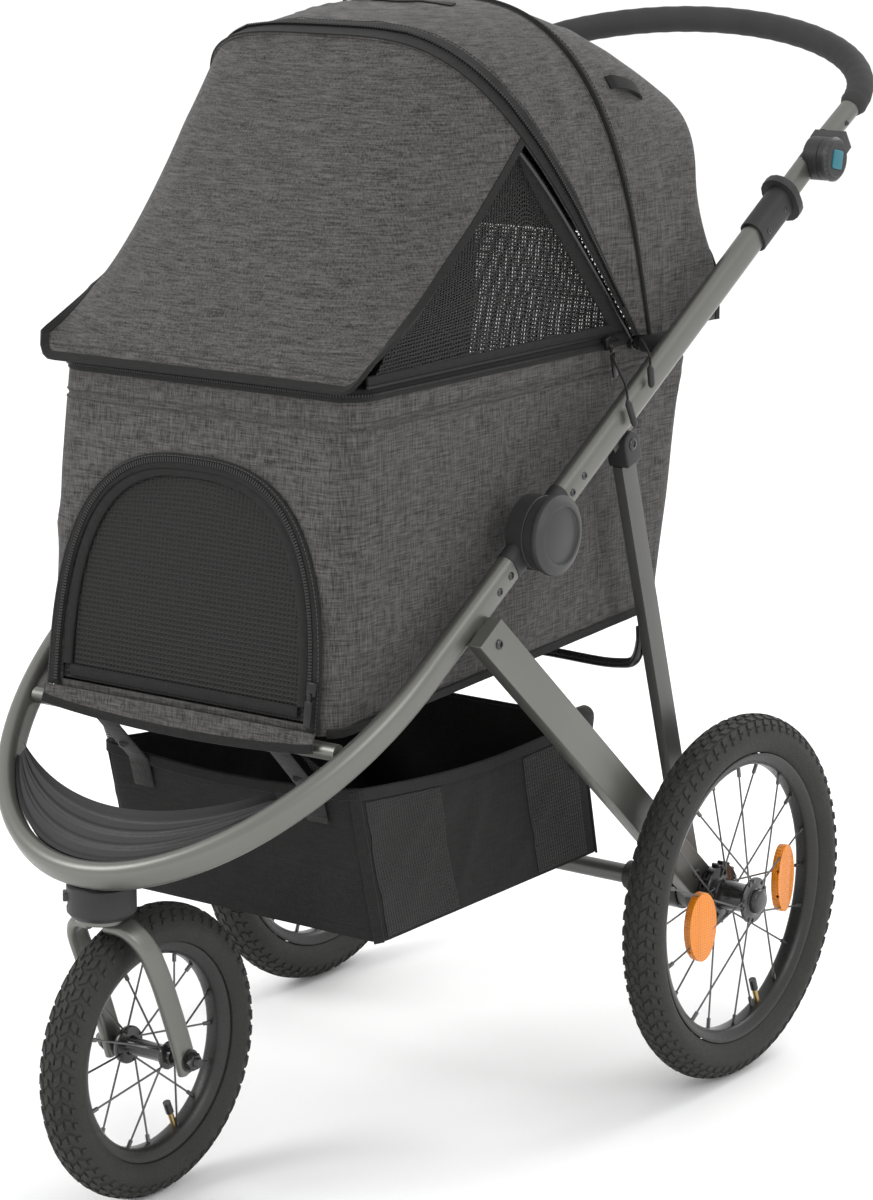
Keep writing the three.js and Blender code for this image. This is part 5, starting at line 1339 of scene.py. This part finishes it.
def cloth_sheet(name, rows, thick, sharp=50):
    """Makes a grid of points into a thin closed sheet, its thickness laid on the far side
    from the grid's normals. Its cloth map is in metres along the rows and columns."""
    count, width = len(rows), len(rows[0])
    normals = grid_normals(rows)
    points = [p for row in rows for p in row]
    points += [rows[i][j] - normals[i][j] * thick for i in range(count) for j in range(width)]
    lower = count * width
    faces = []
    for i in range(count - 1):
        for j in range(width - 1):
            a = i * width + j
            faces.append((a, a + 1, a + width + 1, a + width))
            faces.append(tuple(lower + k for k in (a, a + width, a + width + 1, a + 1)))
    rim = ([(i, 0) for i in range(count)] + [(count - 1, j) for j in range(1, width)]
           + [(i, width - 1) for i in range(count - 2, -1, -1)] + [(0, j) for j in range(width - 2, 0, -1)])
    for (i, j), (k, l) in zip(rim, rim[1:] + rim[:1]):
        a, b = i * width + j, k * width + l
        faces.append((a, b, lower + b, lower + a))
    mesh = bpy.data.meshes.new(name)
    mesh.from_pydata([tuple(p) for p in points], [], faces)
    across = [[0.0] * width for row in rows]
    down = [[0.0] * width for row in rows]
    for i in range(count):
        for j in range(width):
            across[i][j] = across[i][j - 1] + (rows[i][j] - rows[i][j - 1]).length if j else 0.0
            down[i][j] = down[i - 1][j] + (rows[i][j] - rows[i - 1][j]).length if i else 0.0
    middle = width // 2
    spot = [(across[i][j] - across[i][middle], down[i][j]) for i in range(count) for j in range(width)]
    laid = mesh.uv_layers.new(name="cloth")
    for corner in mesh.loops:
        laid.data[corner.index].uv = spot[corner.vertex_index % lower]
    work = bmesh.new()
    work.from_mesh(mesh)
    bmesh.ops.recalc_face_normals(work, faces=work.faces)
    work.to_mesh(mesh)
    work.free()
    mesh.shade_smooth()
    mesh.set_sharp_from_angle(angle=math.radians(sharp))
    piece = bpy.data.objects.new(name, mesh)
    scene.collection.objects.link(piece)
    return piece


door_rows = []
for i in range(29):
    share = i / 28
    up = door_sill + 0.002 + (door_height - 0.004) * share
    level = ((up - door_sill) / door_height)
    half = (door_half - 0.002) * max(0.0, 1 - min(1.0, level ** (1 / 0.72)) ** 2) ** 0.36
    half = max(half, 0.012)
    door_rows.append([on_front(half * (1 - 2 * j / 40), up,
                               -0.0008 + 0.0050 * math.sin(math.pi * share) * math.cos(
        math.pi * (0.5 - j / 40)) ** 0.8 * 0.6) for j in range(41)])
door_panel = cloth_sheet("door_panel", door_rows, 0.0016)
give(door_panel, door_mesh, "door", "mesh_cloth", "front_door")
door_arch = [(x, up) for x,
             up in arch(door_half - 0.0072, door_height - 0.0065, door_sill, 120) if up > door_sill + 0.005]
door_tape = ribbon("door_tape", [on_front(x, up, 0.0016) for x, up in door_arch],
                   [front_out] * len(door_arch), 0.012, 0.0022)
give(door_tape, binding_tape, "door", "black_cloth")
door_foot = ribbon("door_foot_tape",
                   [on_front((door_half - 0.012) * (1 - i / 12), door_sill + 0.0105, 0.0016)
                    for i in range(25)],
                   [front_out] * 25, 0.011, 0.0022)
give(door_foot, binding_tape, "door", "black_cloth")
hole_arch = arch(door_half + 0.0085, door_height + 0.0085, door_sill - 0.006, 96)
hole_tape = ribbon("door_surround", [on_front(x, up, 0.0036) for x, up in hole_arch], [front_out] * 97,
                   0.015, 0.0024)
give(hole_tape, binding_tape, "lower_frame", "black_cloth")
teeth_arch = arch(door_half + 0.0036, door_height + 0.0036, door_sill, 160)
door_zip = repeat_along("door_zip", [on_front(x, up, 0.0046) for x, up in teeth_arch], 0.0030,
                        (0.0046, 0.0030, 0.0018), zip_teeth)
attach(door_zip, "lower_frame")
door_stitches = repeat_along(
    "door_stitches", [on_front(x, up, 0.0052) for x, up in arch(door_half + 0.0135, door_height + 0.0135,
                                                              door_sill - 0.006, 160)],
    0.0042, (0.0008, 0.0008, 0.0028), stitch_thread)
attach(door_stitches, "lower_frame")


def zip_slider(name, place, out, down):
    """A slider's body with a ridged tab hanging from its bridge."""
    side = out.cross(down).normalized()
    parts = []
    for at, along, wide, thick, lift in ((0.0, 0.014, 0.010, 0.0052, 0.003),
                                         (0.007, 0.006, 0.004, 0.003, 0.0066),
                                         (0.024, 0.026, 0.0085, 0.0024, 0.0072)):
        middle = place + down * at + out * lift
        corners = [middle + down * a * along / 2 + side * b * wide / 2 + out * c * thick / 2
                   for a, b, c in ((-1, -1, -1), (-1, 1, -1), (1, 1, -1), (1, -1, -1),
                                   (-1, -1, 1), (-1, 1, 1), (1, 1, 1), (1, -1, 1))]
        block = mesh_piece("block", corners,
                           [(0, 1, 2, 3), (7, 6, 5, 4), (0, 4, 5, 1), (1, 5, 6, 2), (2, 6, 7, 3),
                            (3, 7, 4, 0)])
        rounding = block.modifiers.new("rounding", "BEVEL")
        rounding.width = 0.0010
        rounding.segments = 2
        parts.append(paint(apply_modifiers(block), zip_metal))
    return join(name, *parts)


door_slider = zip_slider("door_slider", on_front(door_half + 0.0086, door_sill + 0.036, 0.005), front_out,
                         -front_up)
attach(door_slider, "lower_frame")
valance_rows = []
for i in range(9):
    down = 0.0265 * i / 8
    valance_rows.append([front_foot + Vector((
        0.172 * (1 - 2 * j / 48), -0.0062 - 0.004 * i / 8,
        0.0065 - down * (0.62 + 0.38 * math.cos(math.pi * (j / 48 - 0.5)) ** 0.7))) for j in range(49)])
valance = cloth_sheet("valance", valance_rows, 0.0018)
give(valance, heather, "lower_frame", "charcoal_cloth")
valance_hem = ribbon("valance_hem", [p + Vector((0, -0.0012, 0.003)) for p in valance_rows[-1]],
                     [Vector((0, -1, 0.1)).normalized()] * 49, 0.009, 0.0020)
give(valance_hem, binding_tape, "lower_frame", "black_cloth")

# ---- Canopy wires and roof ----
# Two bent spring-steel wires turn on the rails' pins. Grey cloth is stretched over them, from
# the front wire over the hoop and down to the back, with tape over both wires.
def arch_point(foot, angle, half, height, power, t):
    turn = math.pi * t
    side = math.cos(turn)
    up = max(0.0, math.sin(turn)) ** power * height
    return Vector((math.copysign(abs(side) ** power, side) * half, foot.y + up * math.cos(angle),
                   foot.z + up * math.sin(angle)))


hoop_angle, hoop_half, hoop_height = math.radians(104), 0.200, 0.343
bow_angle, bow_half, bow_height = math.radians(132), 0.192, 0.407
wire_clear, roof_base = 0.0104, 0.8124
for name, body, angle, half, height, power in (
    ("canopy_hoop", "canopy_middle", hoop_angle, hoop_half, hoop_height, 0.66),
    ("canopy_bow", "canopy_front", bow_angle, bow_half, bow_height, 0.5),
):
    path = [arch_point(canopy_pivot, angle, half, height, power, 0.5 - 0.5 * math.cos(math.pi * i / 80))
            for i in range(81)]
    wire = paint(sweep("wire", path, circle(0.0035, 14), Vector((0, math.sin(angle), -math.cos(angle)))),
                 black_moulding)
    eyes = [paint(turned("eye", [(half - 0.0035, 0.0036), (half - 0.0035, 0.0074), (half - 0.0029, 0.008),
                                 (half + 0.0029, 0.008), (half + 0.0035, 0.0074), (half + 0.0035, 0.0036)],
                         canopy_pivot, s, 40, ends="joined"), black_moulding) for side, s in sides]
    give(join(name + "_wire", wire, *eyes), gloss_black, body, "black_metal", name)

roof_ribs = (
    (canopy_pivot.y - 0.014, bow_angle - 0.02, bow_half + wire_clear, bow_height + wire_clear, 0.5),
    (canopy_pivot.y, hoop_angle, hoop_half + wire_clear, hoop_height + wire_clear, 0.66),
    (canopy_pivot.y + 0.050, 1.25, hoop_half + wire_clear, 0.262, 0.5),
    (axle.y + 0.068, math.pi / 2, hoop_half + wire_clear, 0.894 - roof_base, 0.35),
)


def roof_point(s, t, lift=0.0):
    place = min(max(s, 0.0), 1.0) * (len(roof_ribs) - 1)
    i = min(int(place), len(roof_ribs) - 2)
    y, angle, half, height, power = [a + (b - a) * (place - i) for a,
                                     b in zip(roof_ribs[i], roof_ribs[i + 1])]
    turn = math.pi * min(max(t, 0.0), 1.0)
    side, rise = math.cos(turn), max(0.0, math.sin(turn)) ** power
    up = rise * height
    point = Vector((math.copysign(abs(side) ** power, side) * half, y + up * math.cos(angle),
                    roof_base + up * math.sin(angle)))
    out = Vector((side * 1.2, math.cos(angle) * rise, math.sin(angle) * rise + 0.02)).normalized()
    rib_share = abs(place - round(place))
    slack = 0.0 if 0 < round(place) < 3 and rib_share < 0.04 else min(1.0, rib_share * 5)
    pucker = fold_noise(point.y * 0.9 + abs(point.x) * 0.35, point.z * 0.7 + point.x * 0.5, 21 + i) * 0.7
    dip = -0.004 * math.sin(math.pi * (place - i)) * math.sin(turn)
    return point + out * (lift + slack * (pucker - 0.001) + dip)


def roof_rows(first, last, rows, columns=120, lift=0.0):
    even = [0.5 - 0.5 * math.cos(math.pi * j / columns) for j in range(columns + 1)]
    blendful = [0.45 * e + 0.55 * j / columns for j, e in enumerate(even)]
    return [[roof_point(first + (last - first) * i / rows, t, lift) for t in blendful]
            for i in range(rows + 1)]


bow_out, hoop_out = Vector((0, 0.743, 0.669)), Vector((0, 0.970, 0.242))
bow_blend = {"start": canopy_pivot, "end": canopy_pivot + bow_out * 0.5}
hoop_blend = {"start": canopy_pivot, "end": canopy_pivot + hoop_out * 0.135}


def oriented(rows, toward):
    """Turns a grid so that its normals face away from the point given."""
    normals = grid_normals(rows)
    i, j = len(rows) // 2, len(rows[0]) // 2
    if normals[i][j].dot(rows[i][j] - toward) < 0:
        return [list(reversed(row)) for row in rows]
    return rows


cabin_heart = Vector((0, axle.y - 0.25, 0.80))
roof_front = cloth_sheet("roof_front", oriented(roof_rows(0.0, 1 / 3, 26), cabin_heart), 0.0022)
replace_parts(paint(roof_front, heather), "canopy_roof")
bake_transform(roof_front)
roof_back = cloth_sheet("roof_back", oriented(roof_rows(1 / 3, 1.0, 44), cabin_heart), 0.0022)
paint(roof_back, heather)
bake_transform(roof_back)


def roof_band(name, first, last, lift, material, thick=0.0014):
    band = cloth_sheet(name, oriented(roof_rows(first, last, 4, lift=lift), cabin_heart), thick)
    paint(band, material)
    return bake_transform(band)


bow_pair, hoop_pair = (("canopy_front", "upper_frame"), bow_blend), (("canopy_middle", "upper_frame"),
                                                                     hoop_blend)
bow_trim, hoop_trim = [], []
bow_trim.append(roof_band("bow_tape", 0.0, 0.058, 0.0016, binding_tape))
bow_trim.append(roof_band("hoop_tape", 0.326, 0.3333, 0.0016, binding_tape))
hoop_trim.append(roof_band("hoop_tape_back", 0.3333, 0.344, 0.0018, binding_tape))
hoop_trim.append(roof_band("roof_back_hem", 0.972, 1.0, 0.0014, binding_tape))
for name, share, pair, lift in (("bow_zip", 0.030, bow_pair, 0.0034),
                                ("bow_stitches", 0.066, bow_pair, 0.0006),
                                ("hoop_stitches", 0.320, bow_pair, 0.0006),
                                ("hoop_stitches_back", 0.352, hoop_pair, 0.0006)):
    path = [roof_point(share, t, lift) for t in [0.004 + 0.992 * j / 220 for j in range(221)]]
    if name == "bow_zip":
        row = repeat_along(name, path, 0.0032, (0.0036, 0.0026, 0.0019), zip_teeth)
    else:
        row = repeat_along(name, path, 0.0044, (0.0008, 0.0008, 0.0029), stitch_thread)
    (bow_trim if pair is bow_pair else hoop_trim).append(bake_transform(row))
hoop_cord_path = [roof_point(1 / 3, t, 0.0022) for t in [j / 160 for j in range(161)]]
hoop_piping = sweep("hoop_piping", hoop_cord_path, circle(0.0021, 10),
                    Vector((0, math.sin(hoop_angle), -math.cos(hoop_angle))))
paint(hoop_piping, binding_tape)
hoop_trim.append(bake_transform(hoop_piping))


def back_edge(x):
    """The roof's back hem at this distance across."""
    side = (min(abs(x), 0.2035) / (hoop_half + wire_clear)) ** (1 / 0.35)
    return roof_point(1.0, math.acos(math.copysign(side, x)) / math.pi)


def back_spot(x, share, sunk=0.0):
    top = back_edge(x)
    return Vector((x, top.y - 0.006 - sunk, roof_base + (top.z - 0.0015 - roof_base) * share))


for name, start, end, material, slot in (
    ("back_panel_left", 0.201, back_half, heather, "charcoal_cloth"),
    ("back_window", back_half, -back_half, window_mesh, "mesh_cloth"),
    ("back_panel_right", -back_half, -0.201, heather, "charcoal_cloth")):
    thick = 0.0007 if name == "back_window" else 0.0018
    rows = [[back_spot(start + (end - start) * j / 24, i / 10) for j in range(25)] for i in range(11)]
    panel = cloth_sheet(name, oriented(rows, cabin_heart), thick)
    give(panel, material, "upper_frame", slot)


def cabin_back(z):
    return axle.y + float(np.interp(z, (0.51, 0.64, 0.812), (0.007, 0.032, 0.062)))


lower_rows = [[Vector((back_half * 1.02 * (1 - 2 * j / 24), cabin_back(z) - 0.0012, z)) for j in range(25)]
              for z in [back_foot - 0.003 + (roof_base - back_foot + 0.003) * i / 14 for i in range(15)]]
lower_window = cloth_sheet("back_window_lower", oriented(lower_rows, cabin_heart), 0.0007)
with_cabin(paint(lower_window, window_mesh))
frame_line = [Vector((back_half + 0.002, cabin_back(z) + 0.0012, z))
              for z in [cabin_top - (cabin_top - back_foot - 0.02) * i / 16 for i in range(17)]]
frame_line += [Vector((back_half - 0.018 + 0.020 * math.cos(t), cabin_back(back_foot) + 0.0012,
                       back_foot + 0.018 - 0.020 * math.sin(t)))
               for t in [math.pi / 2 * k / 6 for k in range(1, 7)]]
frame_line += [Vector((-p.x, p.y, p.z)) for p in reversed(frame_line)]
frame_tape = ribbon("back_window_tape", frame_line, [Vector((0, 1, 0.1)).normalized()] * len(frame_line),
                    0.014, 0.0024)
with_cabin(paint(frame_tape, binding_tape))
for side, s in sides:
    post = [back_spot(s * back_half, i / 10, -0.0012) for i in range(11)]
    post_tape = ribbon("back_post_tape_" + side, post, [Vector((0, 1, 0))] * 11, 0.014, 0.0024)
    give(post_tape, binding_tape, "upper_frame", "black_cloth")

slit_rows = [[roof_point(s, 0.5 + 0.052 * (2 * j / 12 - 1), 0.0020) for j in range(13)] for s in
             [0.215 + 0.016 * i / 3 for i in range(4)]]
roof_slit = cloth_sheet("roof_slit", oriented(slit_rows, cabin_heart), 0.0012)
paint(roof_slit, binding_tape)
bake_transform(roof_slit)
tab_rows = [[roof_point(0.395 + 0.100 * i / 10, 0.222 + 0.022 * j / 6,
                        0.0022 + 0.006 * math.sin(math.pi * i / 10) ** 0.6)
             for j in range(7)] for i in range(11)]
carry_tab = cloth_sheet("carry_tab", oriented(tab_rows, cabin_heart), 0.0022)
paint(carry_tab, binding_tape)
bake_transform(carry_tab)

# ---- Sun shade ----
# The cloth from the front wire down to its free hem, over the cabin's front edge.
# Its hem and sides are bound with tape, and the hem's corners are rounded.
def shade_point(s, t, lift=0.0):
    bow = roof_point(0.006, 0.155 + 0.69 * t, -0.0005)
    hem = Vector(((bow_half + wire_clear) * (1 - 2 * t), axle.y - 0.553, 0.816))
    edge = abs(2 * t - 1)
    corner = max(0.0, (edge - 0.90) / 0.10)
    hem.z += 0.020 * corner ** 2.4 * s ** 2
    hem.y += 0.014 * corner ** 2.4
    point = bow.lerp(hem, s)
    bulge = 0.014 * math.sin(math.pi * s) * (1 - 1.5 * edge ** 4)
    crease = fold_noise(point.x * 0.5 + s * 0.1, s * 0.6, 40) * 0.7 * math.sin(math.pi * s)
    sag = 0.004 * math.sin(math.pi * s) * math.sin(math.pi * t * 2) * 0.5
    return point + Vector((0, -0.74, 0.67)) * (bulge + crease + sag + lift)


shade_rows = [[shade_point(i / 44, j / 72) for j in range(73)] for i in range(45)]
shade_rows = oriented(shade_rows, cabin_heart)
shade = cloth_sheet("shade", shade_rows, 0.0024)
give(shade, heather, "canopy_front", "charcoal_cloth", "canopy_shade")
edge_path = ([row[0] for row in shade_rows] + shade_rows[-1][1:-1]
             + [row[-1] for row in reversed(shade_rows)])
shade_normals = grid_normals(shade_rows)
edge_normals = ([row[0] for row in shade_normals] + shade_normals[-1][1:-1]
                + [row[-1] for row in reversed(shade_normals)])
edge_path = [p - n * 0.0010 for p, n in zip(edge_path, edge_normals)]
shade_tape = ribbon("shade_tape", edge_path, edge_normals, 0.009, 0.0042)
give(shade_tape, binding_tape, "canopy_front", "black_cloth")
stitch_path = [shade_point(0.965, j / 120, 0.0008) for j in range(4, 117)]
shade_stitches = repeat_along("shade_stitches", stitch_path, 0.0044, (0.0008, 0.0008, 0.0029),
                              stitch_thread)
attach(shade_stitches, "canopy_front")

# ---- Side windows ----
# Three-sided panels of open black mesh fill the sides between shade, front wire and rim.
# Tape binds each, and the zip along its foot joins it to the cabin.
def window_edge_front(a, s):
    p = shade_point(1 - a, 0.0 if s > 0 else 1.0)
    settle = min(1.0, a / 0.15)
    return Vector((s * (abs(p.x) - 0.0045 - 0.006 * (1 - settle)), p.y + 0.0015 + 0.010 * (1 - settle),
                   0.8145 + (p.z - 0.001 - 0.8145) * settle))


def window_edge_back(a, s):
    t = math.asin((0.69 * a) ** 2) / math.pi
    p = arch_point(Vector((0, canopy_pivot.y - 0.006, canopy_pivot.z)), bow_angle, bow_half, bow_height,
                   0.5, t)
    return Vector((s * (abs(p.x) - 0.0035), p.y, max(p.z, 0.8145)))


for side, s in sides:
    rows = []
    for i in range(31):
        a = i / 30
        front, back = window_edge_front(a, s), window_edge_back(a, s)
        rows.append([front.lerp(back, b / 36)
                     + Vector((s * 0.003 * math.sin(math.pi * b / 36) * math.sin(math.pi * a), 0, 0))
                     for b in range(37)])
    rows = oriented(rows, Vector((0, rows[12][18].y, rows[12][18].z)))
    window = cloth_sheet("window_" + side, rows, 0.0007)
    give(window, window_mesh, "canopy_front", "mesh_cloth", "side_window_" + side)
    foot = rows[0]
    out = [Vector((s, 0, 0))] * len(foot)
    foot_tape = ribbon("window_foot_tape_" + side, [p + Vector((s * 0.0012, 0, 0.0052)) for p in foot], out,
                       0.012, 0.0026)
    give(foot_tape, binding_tape, "canopy_front", "black_cloth")
    foot_zip = repeat_along("window_zip_" + side, [p + Vector((s * 0.0028, 0, 0.0012)) for p in foot],
                            0.0030,
                            (0.0030, 0.0022, 0.0017), zip_teeth)
    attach(foot_zip, "canopy_front")
    rear = [window_edge_back(i / 40, s) for i in range(41)]
    rear_out = [Vector((s, -0.25, 0.1)).normalized()] * len(rear)
    rear_tape = ribbon("window_rear_tape_" + side, [p + Vector((s * 0.0022, -0.004, 0)) for p in rear],
                       rear_out, 0.020, 0.0020)
    give(rear_tape, binding_tape, "canopy_front", "black_cloth")

# ---- Basket ----
# A slack black fabric bin with taped corners and open mesh in its sides. Webbing straps hang
# its front edge from the crossbar, and its back corners from the struts.
basket_half, basket_thick = 0.163, 0.0024


def basket_spot(share, inset=0.0, lift=0.0):
    front = axle.y - 0.471 - 0.040 * share
    back = axle.y - 0.078 - 0.032 * share
    ring = []
    for place, out in around(basket_half, front, back, 0.014, 36, 30, 6):
        along = (place.y - front) / (back - front)
        low = 0.246 + 0.002 * along
        top = 0.411 - 0.011 * along
        across = place.x / basket_half
        dip = 0.0
        if abs(out.x) > 0.7:
            dip = 0.012 * math.sin(math.pi * along)
        elif out.y < -0.7:
            dip = 0.010 * math.cos(math.pi * across / 2)
        z = low + share * (top - dip - low)
        hang = math.sin(math.pi * min(max(share, 0), 1)) ** 0.7
        slack = hang * (-0.0035 * (math.sin(math.pi * along)
                                   if abs(out.x) > 0.7 else math.cos(math.pi * across / 2))
                        + 1.1 * fold_noise(place.x * 0.7 + place.y * 0.8 - z * 0.5, z + place.x * 0.4, 60))
        if abs(out.x) > 0.7:
            slack = min(slack, 0.0)
        point = place + out * (slack - inset)
        ring.append(Vector((point.x, point.y, z + lift)))
    return ring


basket_shares = [0.006, 0.02, 0.05] + [0.05 + 0.93 * i / 24 for i in range(1, 25)] + [1.0]
basket_out = ([basket_spot(0.0, 0.0125), basket_spot(0.0, 0.008), basket_spot(0.001, 0.003)]
              + [basket_spot(share) for share in basket_shares])
basket_in = ([basket_spot(share, basket_thick) for share in reversed(basket_shares) if share > 0.04]
             + [basket_spot(0.01, basket_thick + 0.002), basket_spot(0.0, 0.010, 0.003),
                basket_spot(0.0, 0.0125, 0.003)])
basket_cloth = cloth_finish("basket_polyester", (0.006, 0.006, 0.006), (0.016, 0.016, 0.0155), 0.0003, 800,
                            0.03)
basket_body = loft("basket_body", basket_out + basket_in, sharp=50)
basket_ways = [out for place, out in around(basket_half, 0.0, 0.4, 0.014, 36, 30, 6)]


def with_basket(piece):
    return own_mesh(piece)


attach(basket_body, "lower_frame")
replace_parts(basket_body, "basket")
with_basket(paint(basket_body, basket_cloth))
basket_rim = ribbon("basket_rim", basket_spot(0.985, -0.0010), basket_ways, 0.012, 0.0030, closed=True)
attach(basket_rim, "lower_frame")
with_basket(paint(basket_rim, binding_tape))
corner_tapes = []
for index, way in enumerate(basket_ways):
    if abs(abs(way.x) - abs(way.y)) < 0.09 and abs(way.x) > 0.6:
        path = [basket_spot(share, -0.0008)[index] for share in [i / 24 for i in range(25)]]
        corner_tapes.append(paint(ribbon("corner_tape", path, [way] * 25, 0.011, 0.0026), binding_tape))
basket_corners = join("basket_corners", *corner_tapes)
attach(basket_corners, "lower_frame")
with_basket(basket_corners)
side_mesh = mesh_finish("basket_mesh", (0.018, 0.018, 0.0175), 0.0040, 0.90)
for side, s in sides:
    ordered = [k for k, way in enumerate(basket_ways) if way.x * s > 0.999]
    ordered.sort(key=lambda k: basket_spot(0.5)[k].y)
    for label, low, high in (("front", 0.02, 0.36), ("back", 0.72, 0.98)):
        picked = ordered[int(low * len(ordered)):max(int(high * len(ordered)), 2)]
        rows = []
        for share in [0.03 + 0.90 * i / 16 for i in range(17)]:
            ring = basket_spot(share, -0.0010)
            rows.append([ring[k] for k in picked])
        rows = oriented(rows, Vector((0, rows[8][2].y, rows[8][2].z)))
        patch = cloth_sheet("basket_mesh_%s_%s" % (label, side), rows, 0.0007)
        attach(patch, "lower_frame")
        with_basket(paint(patch, side_mesh))

webbing = cloth_finish("webbing", (0.012, 0.012, 0.012), (0.030, 0.030, 0.029), 0.0006, 420, 0.1)
strap_parts = []
for x in (-0.112, 0.112):
    top = Vector((x, bar_middle.y + 0.0065, bar_middle.z - 0.0098))
    low = Vector((x, axle.y - 0.511 - 0.003, 0.403))
    foot = Vector((x, axle.y - 0.511 + 0.006, 0.372))
    path = between(top, low, 10)[:-1] + between(low, foot, 5)
    ways = [Vector((0, -0.72, -0.69))] * 10 + [Vector((0, -0.97, -0.2))] * 6
    strap_parts.append(paint(ribbon("strap", path, ways, 0.026, 0.0022), webbing))
    bar_turn = [bar_middle + Vector((x, 0.0101 * math.cos(t), 0.0101 * math.sin(t)))
                for t in [2 * math.pi * k / 36 for k in range(36)]]
    strap_parts.append(paint(ribbon("strap_loop", bar_turn,
                                    [(p - bar_middle - Vector((x, 0, 0))).normalized() for p in bar_turn],
                                    0.026, 0.0022, closed=True), webbing))
    snap = turned("snap", [(0.0, 0.0), (0.0, 0.0058), (0.0010, 0.0058), (0.0022, 0.0046), (0.0024, 0.0)],
                  Vector(), 1, 24)
    snap.data.transform(Matrix.Translation(top.lerp(low, 0.62) + Vector((0, -0.0011, -0.0012)))
                        @ Matrix.Rotation(math.radians(-90), 4, "Z") @ Matrix.Rotation(math.radians(-44), 4,
                            "Y"))
    strap_parts.append(paint(snap, cap_plastic))
for side, s in sides:
    gusset = [Vector((s * (0.126 + 0.030 * k / 8), axle.y - 0.509 - 0.050 * j / 8 * (1 - k / 8),
                      0.410 + 0.052 * j / 8 * (1 - k / 8)))
              for j in range(9) for k in range(9)]
    rows = oriented([gusset[9 * j:9 * j + 9] for j in range(9)], cabin_heart)
    strap_parts.append(paint(cloth_sheet("gusset", rows, 0.0007), window_mesh))
straps = join("basket_straps", *strap_parts)
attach(straps, "lower_frame")

reflective = hard_finish("reflective_patch", (0.62, 0.62, 0.60), (0.74, 0.74, 0.72), 0.2, 0.35, 0.5,
                         grain=2200, depth=0.0001)
rear_parts = []
for side, s in sides:
    way = Vector((s, 0, 0))
    tab_path = [Vector((s * (basket_half + 0.0030), axle.y - 0.122 + 0.010 * k / 14,
                        0.350 + 0.052 * k / 14))
                for k in range(15)]
    fold_path = [Vector((s * (basket_half + 0.0030 - 0.010 * (1 - math.cos(t))), axle.y - 0.112,
                         0.402 + 0.010 * math.sin(t)))
                 for t in [math.pi * k / 12 for k in range(13)]]
    ways = [way] * 15 + [Vector((s * math.cos(t), 0, math.sin(t)))
                         for t in [math.pi * k / 12 for k in range(1, 13)]]
    rear_parts.append(paint(ribbon("rear_tab", tab_path + fold_path[1:], ways, 0.030, 0.0024), webbing))
    patch = [p + Vector((s * 0.0018, 0, 0)) for p in tab_path[4:13]]
    rear_parts.append(paint(ribbon("rear_patch", patch, [way] * 9, 0.017, 0.0010), reflective))
rear_tabs = join("basket_rear_tabs", *rear_parts)
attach(rear_tabs, "lower_frame")
with_basket(rear_tabs)

# ---- Zip pulls and small fittings ----
# Corded pulls with moulded ends hang from the canopy's zips behind the window.
# A small amber reflector is clipped under the cabin's floor.
for side, s in sides:
    for label, spots, grip_end in (
        ("front", ((0.2000, -0.1214, 0.7950), (0.2250, -0.1479, 0.7870), (0.2515, -0.1730, 0.7735),
                   (0.2545, -0.1737, 0.7597)),
         (0.2545, -0.1600, 0.7330)),
        ("back", ((0.2060, -0.0782, 0.8089), (0.2350, -0.1113, 0.8061), (0.2540, -0.1330, 0.7990),
                  (0.2552, -0.1341, 0.7900)),
         (0.2552, -0.1310, 0.7690))):
        fall = smooth_path([Vector((s * x, axle.y + y, z)) for x, y, z in spots], 30)
        pull_cord = sweep("pull_cord_%s_%s" % (label, side), fall, circle(0.0012, 10),
                          Vector((0.2, 1, 0.3)))
        give(pull_cord, binding_tape, "upper_frame", "black_cloth")
        tip = Vector((s * grip_end[0], axle.y + grip_end[1], grip_end[2]))
        along = (tip - fall[-1]).normalized()
        grip_line = between(fall[-1] - along * 0.003, tip, 12)
        pull_grip = sweep("pull_grip_%s_%s" % (label, side), grip_line,
                          lambda v: circle(0.0012 + 0.0024 * min(1.0, 6 * v, 8 * (1 - v) + 0.2), 14),
                          Vector((1, 0, 0)), sharp=60)
        give(pull_grip, black_moulding, "upper_frame", "black_plastic")
    slider = zip_slider("rim_slider_" + side, Vector((s * 0.1935, axle.y - 0.1245, 0.8085)),
                        Vector((s, 0, 0)),
                        Vector((0, 0.25, -0.97)).normalized())
    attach(slider, "upper_frame")
low_lens = mesh_piece("low_lens",
                      [Vector((0.045 + x * 0.019, bar_middle.y + 0.020 + y * 0.0035, 0.4655 + z * 0.0085))
                                   for x, y, z in ((-1, -1, -1), (1, -1, -1), (1, 1, -1), (-1, 1, -1),
                                                   (-1, -1, 1), (1, -1, 1), (1, 1, 1), (-1, 1, 1))],
                      [(0, 3, 2, 1), (4, 5, 6, 7), (0, 1, 5, 4), (1, 2, 6, 5), (2, 3, 7, 6), (3, 0, 4, 7)])
give(low_lens, amber, "lower_frame", "amber")
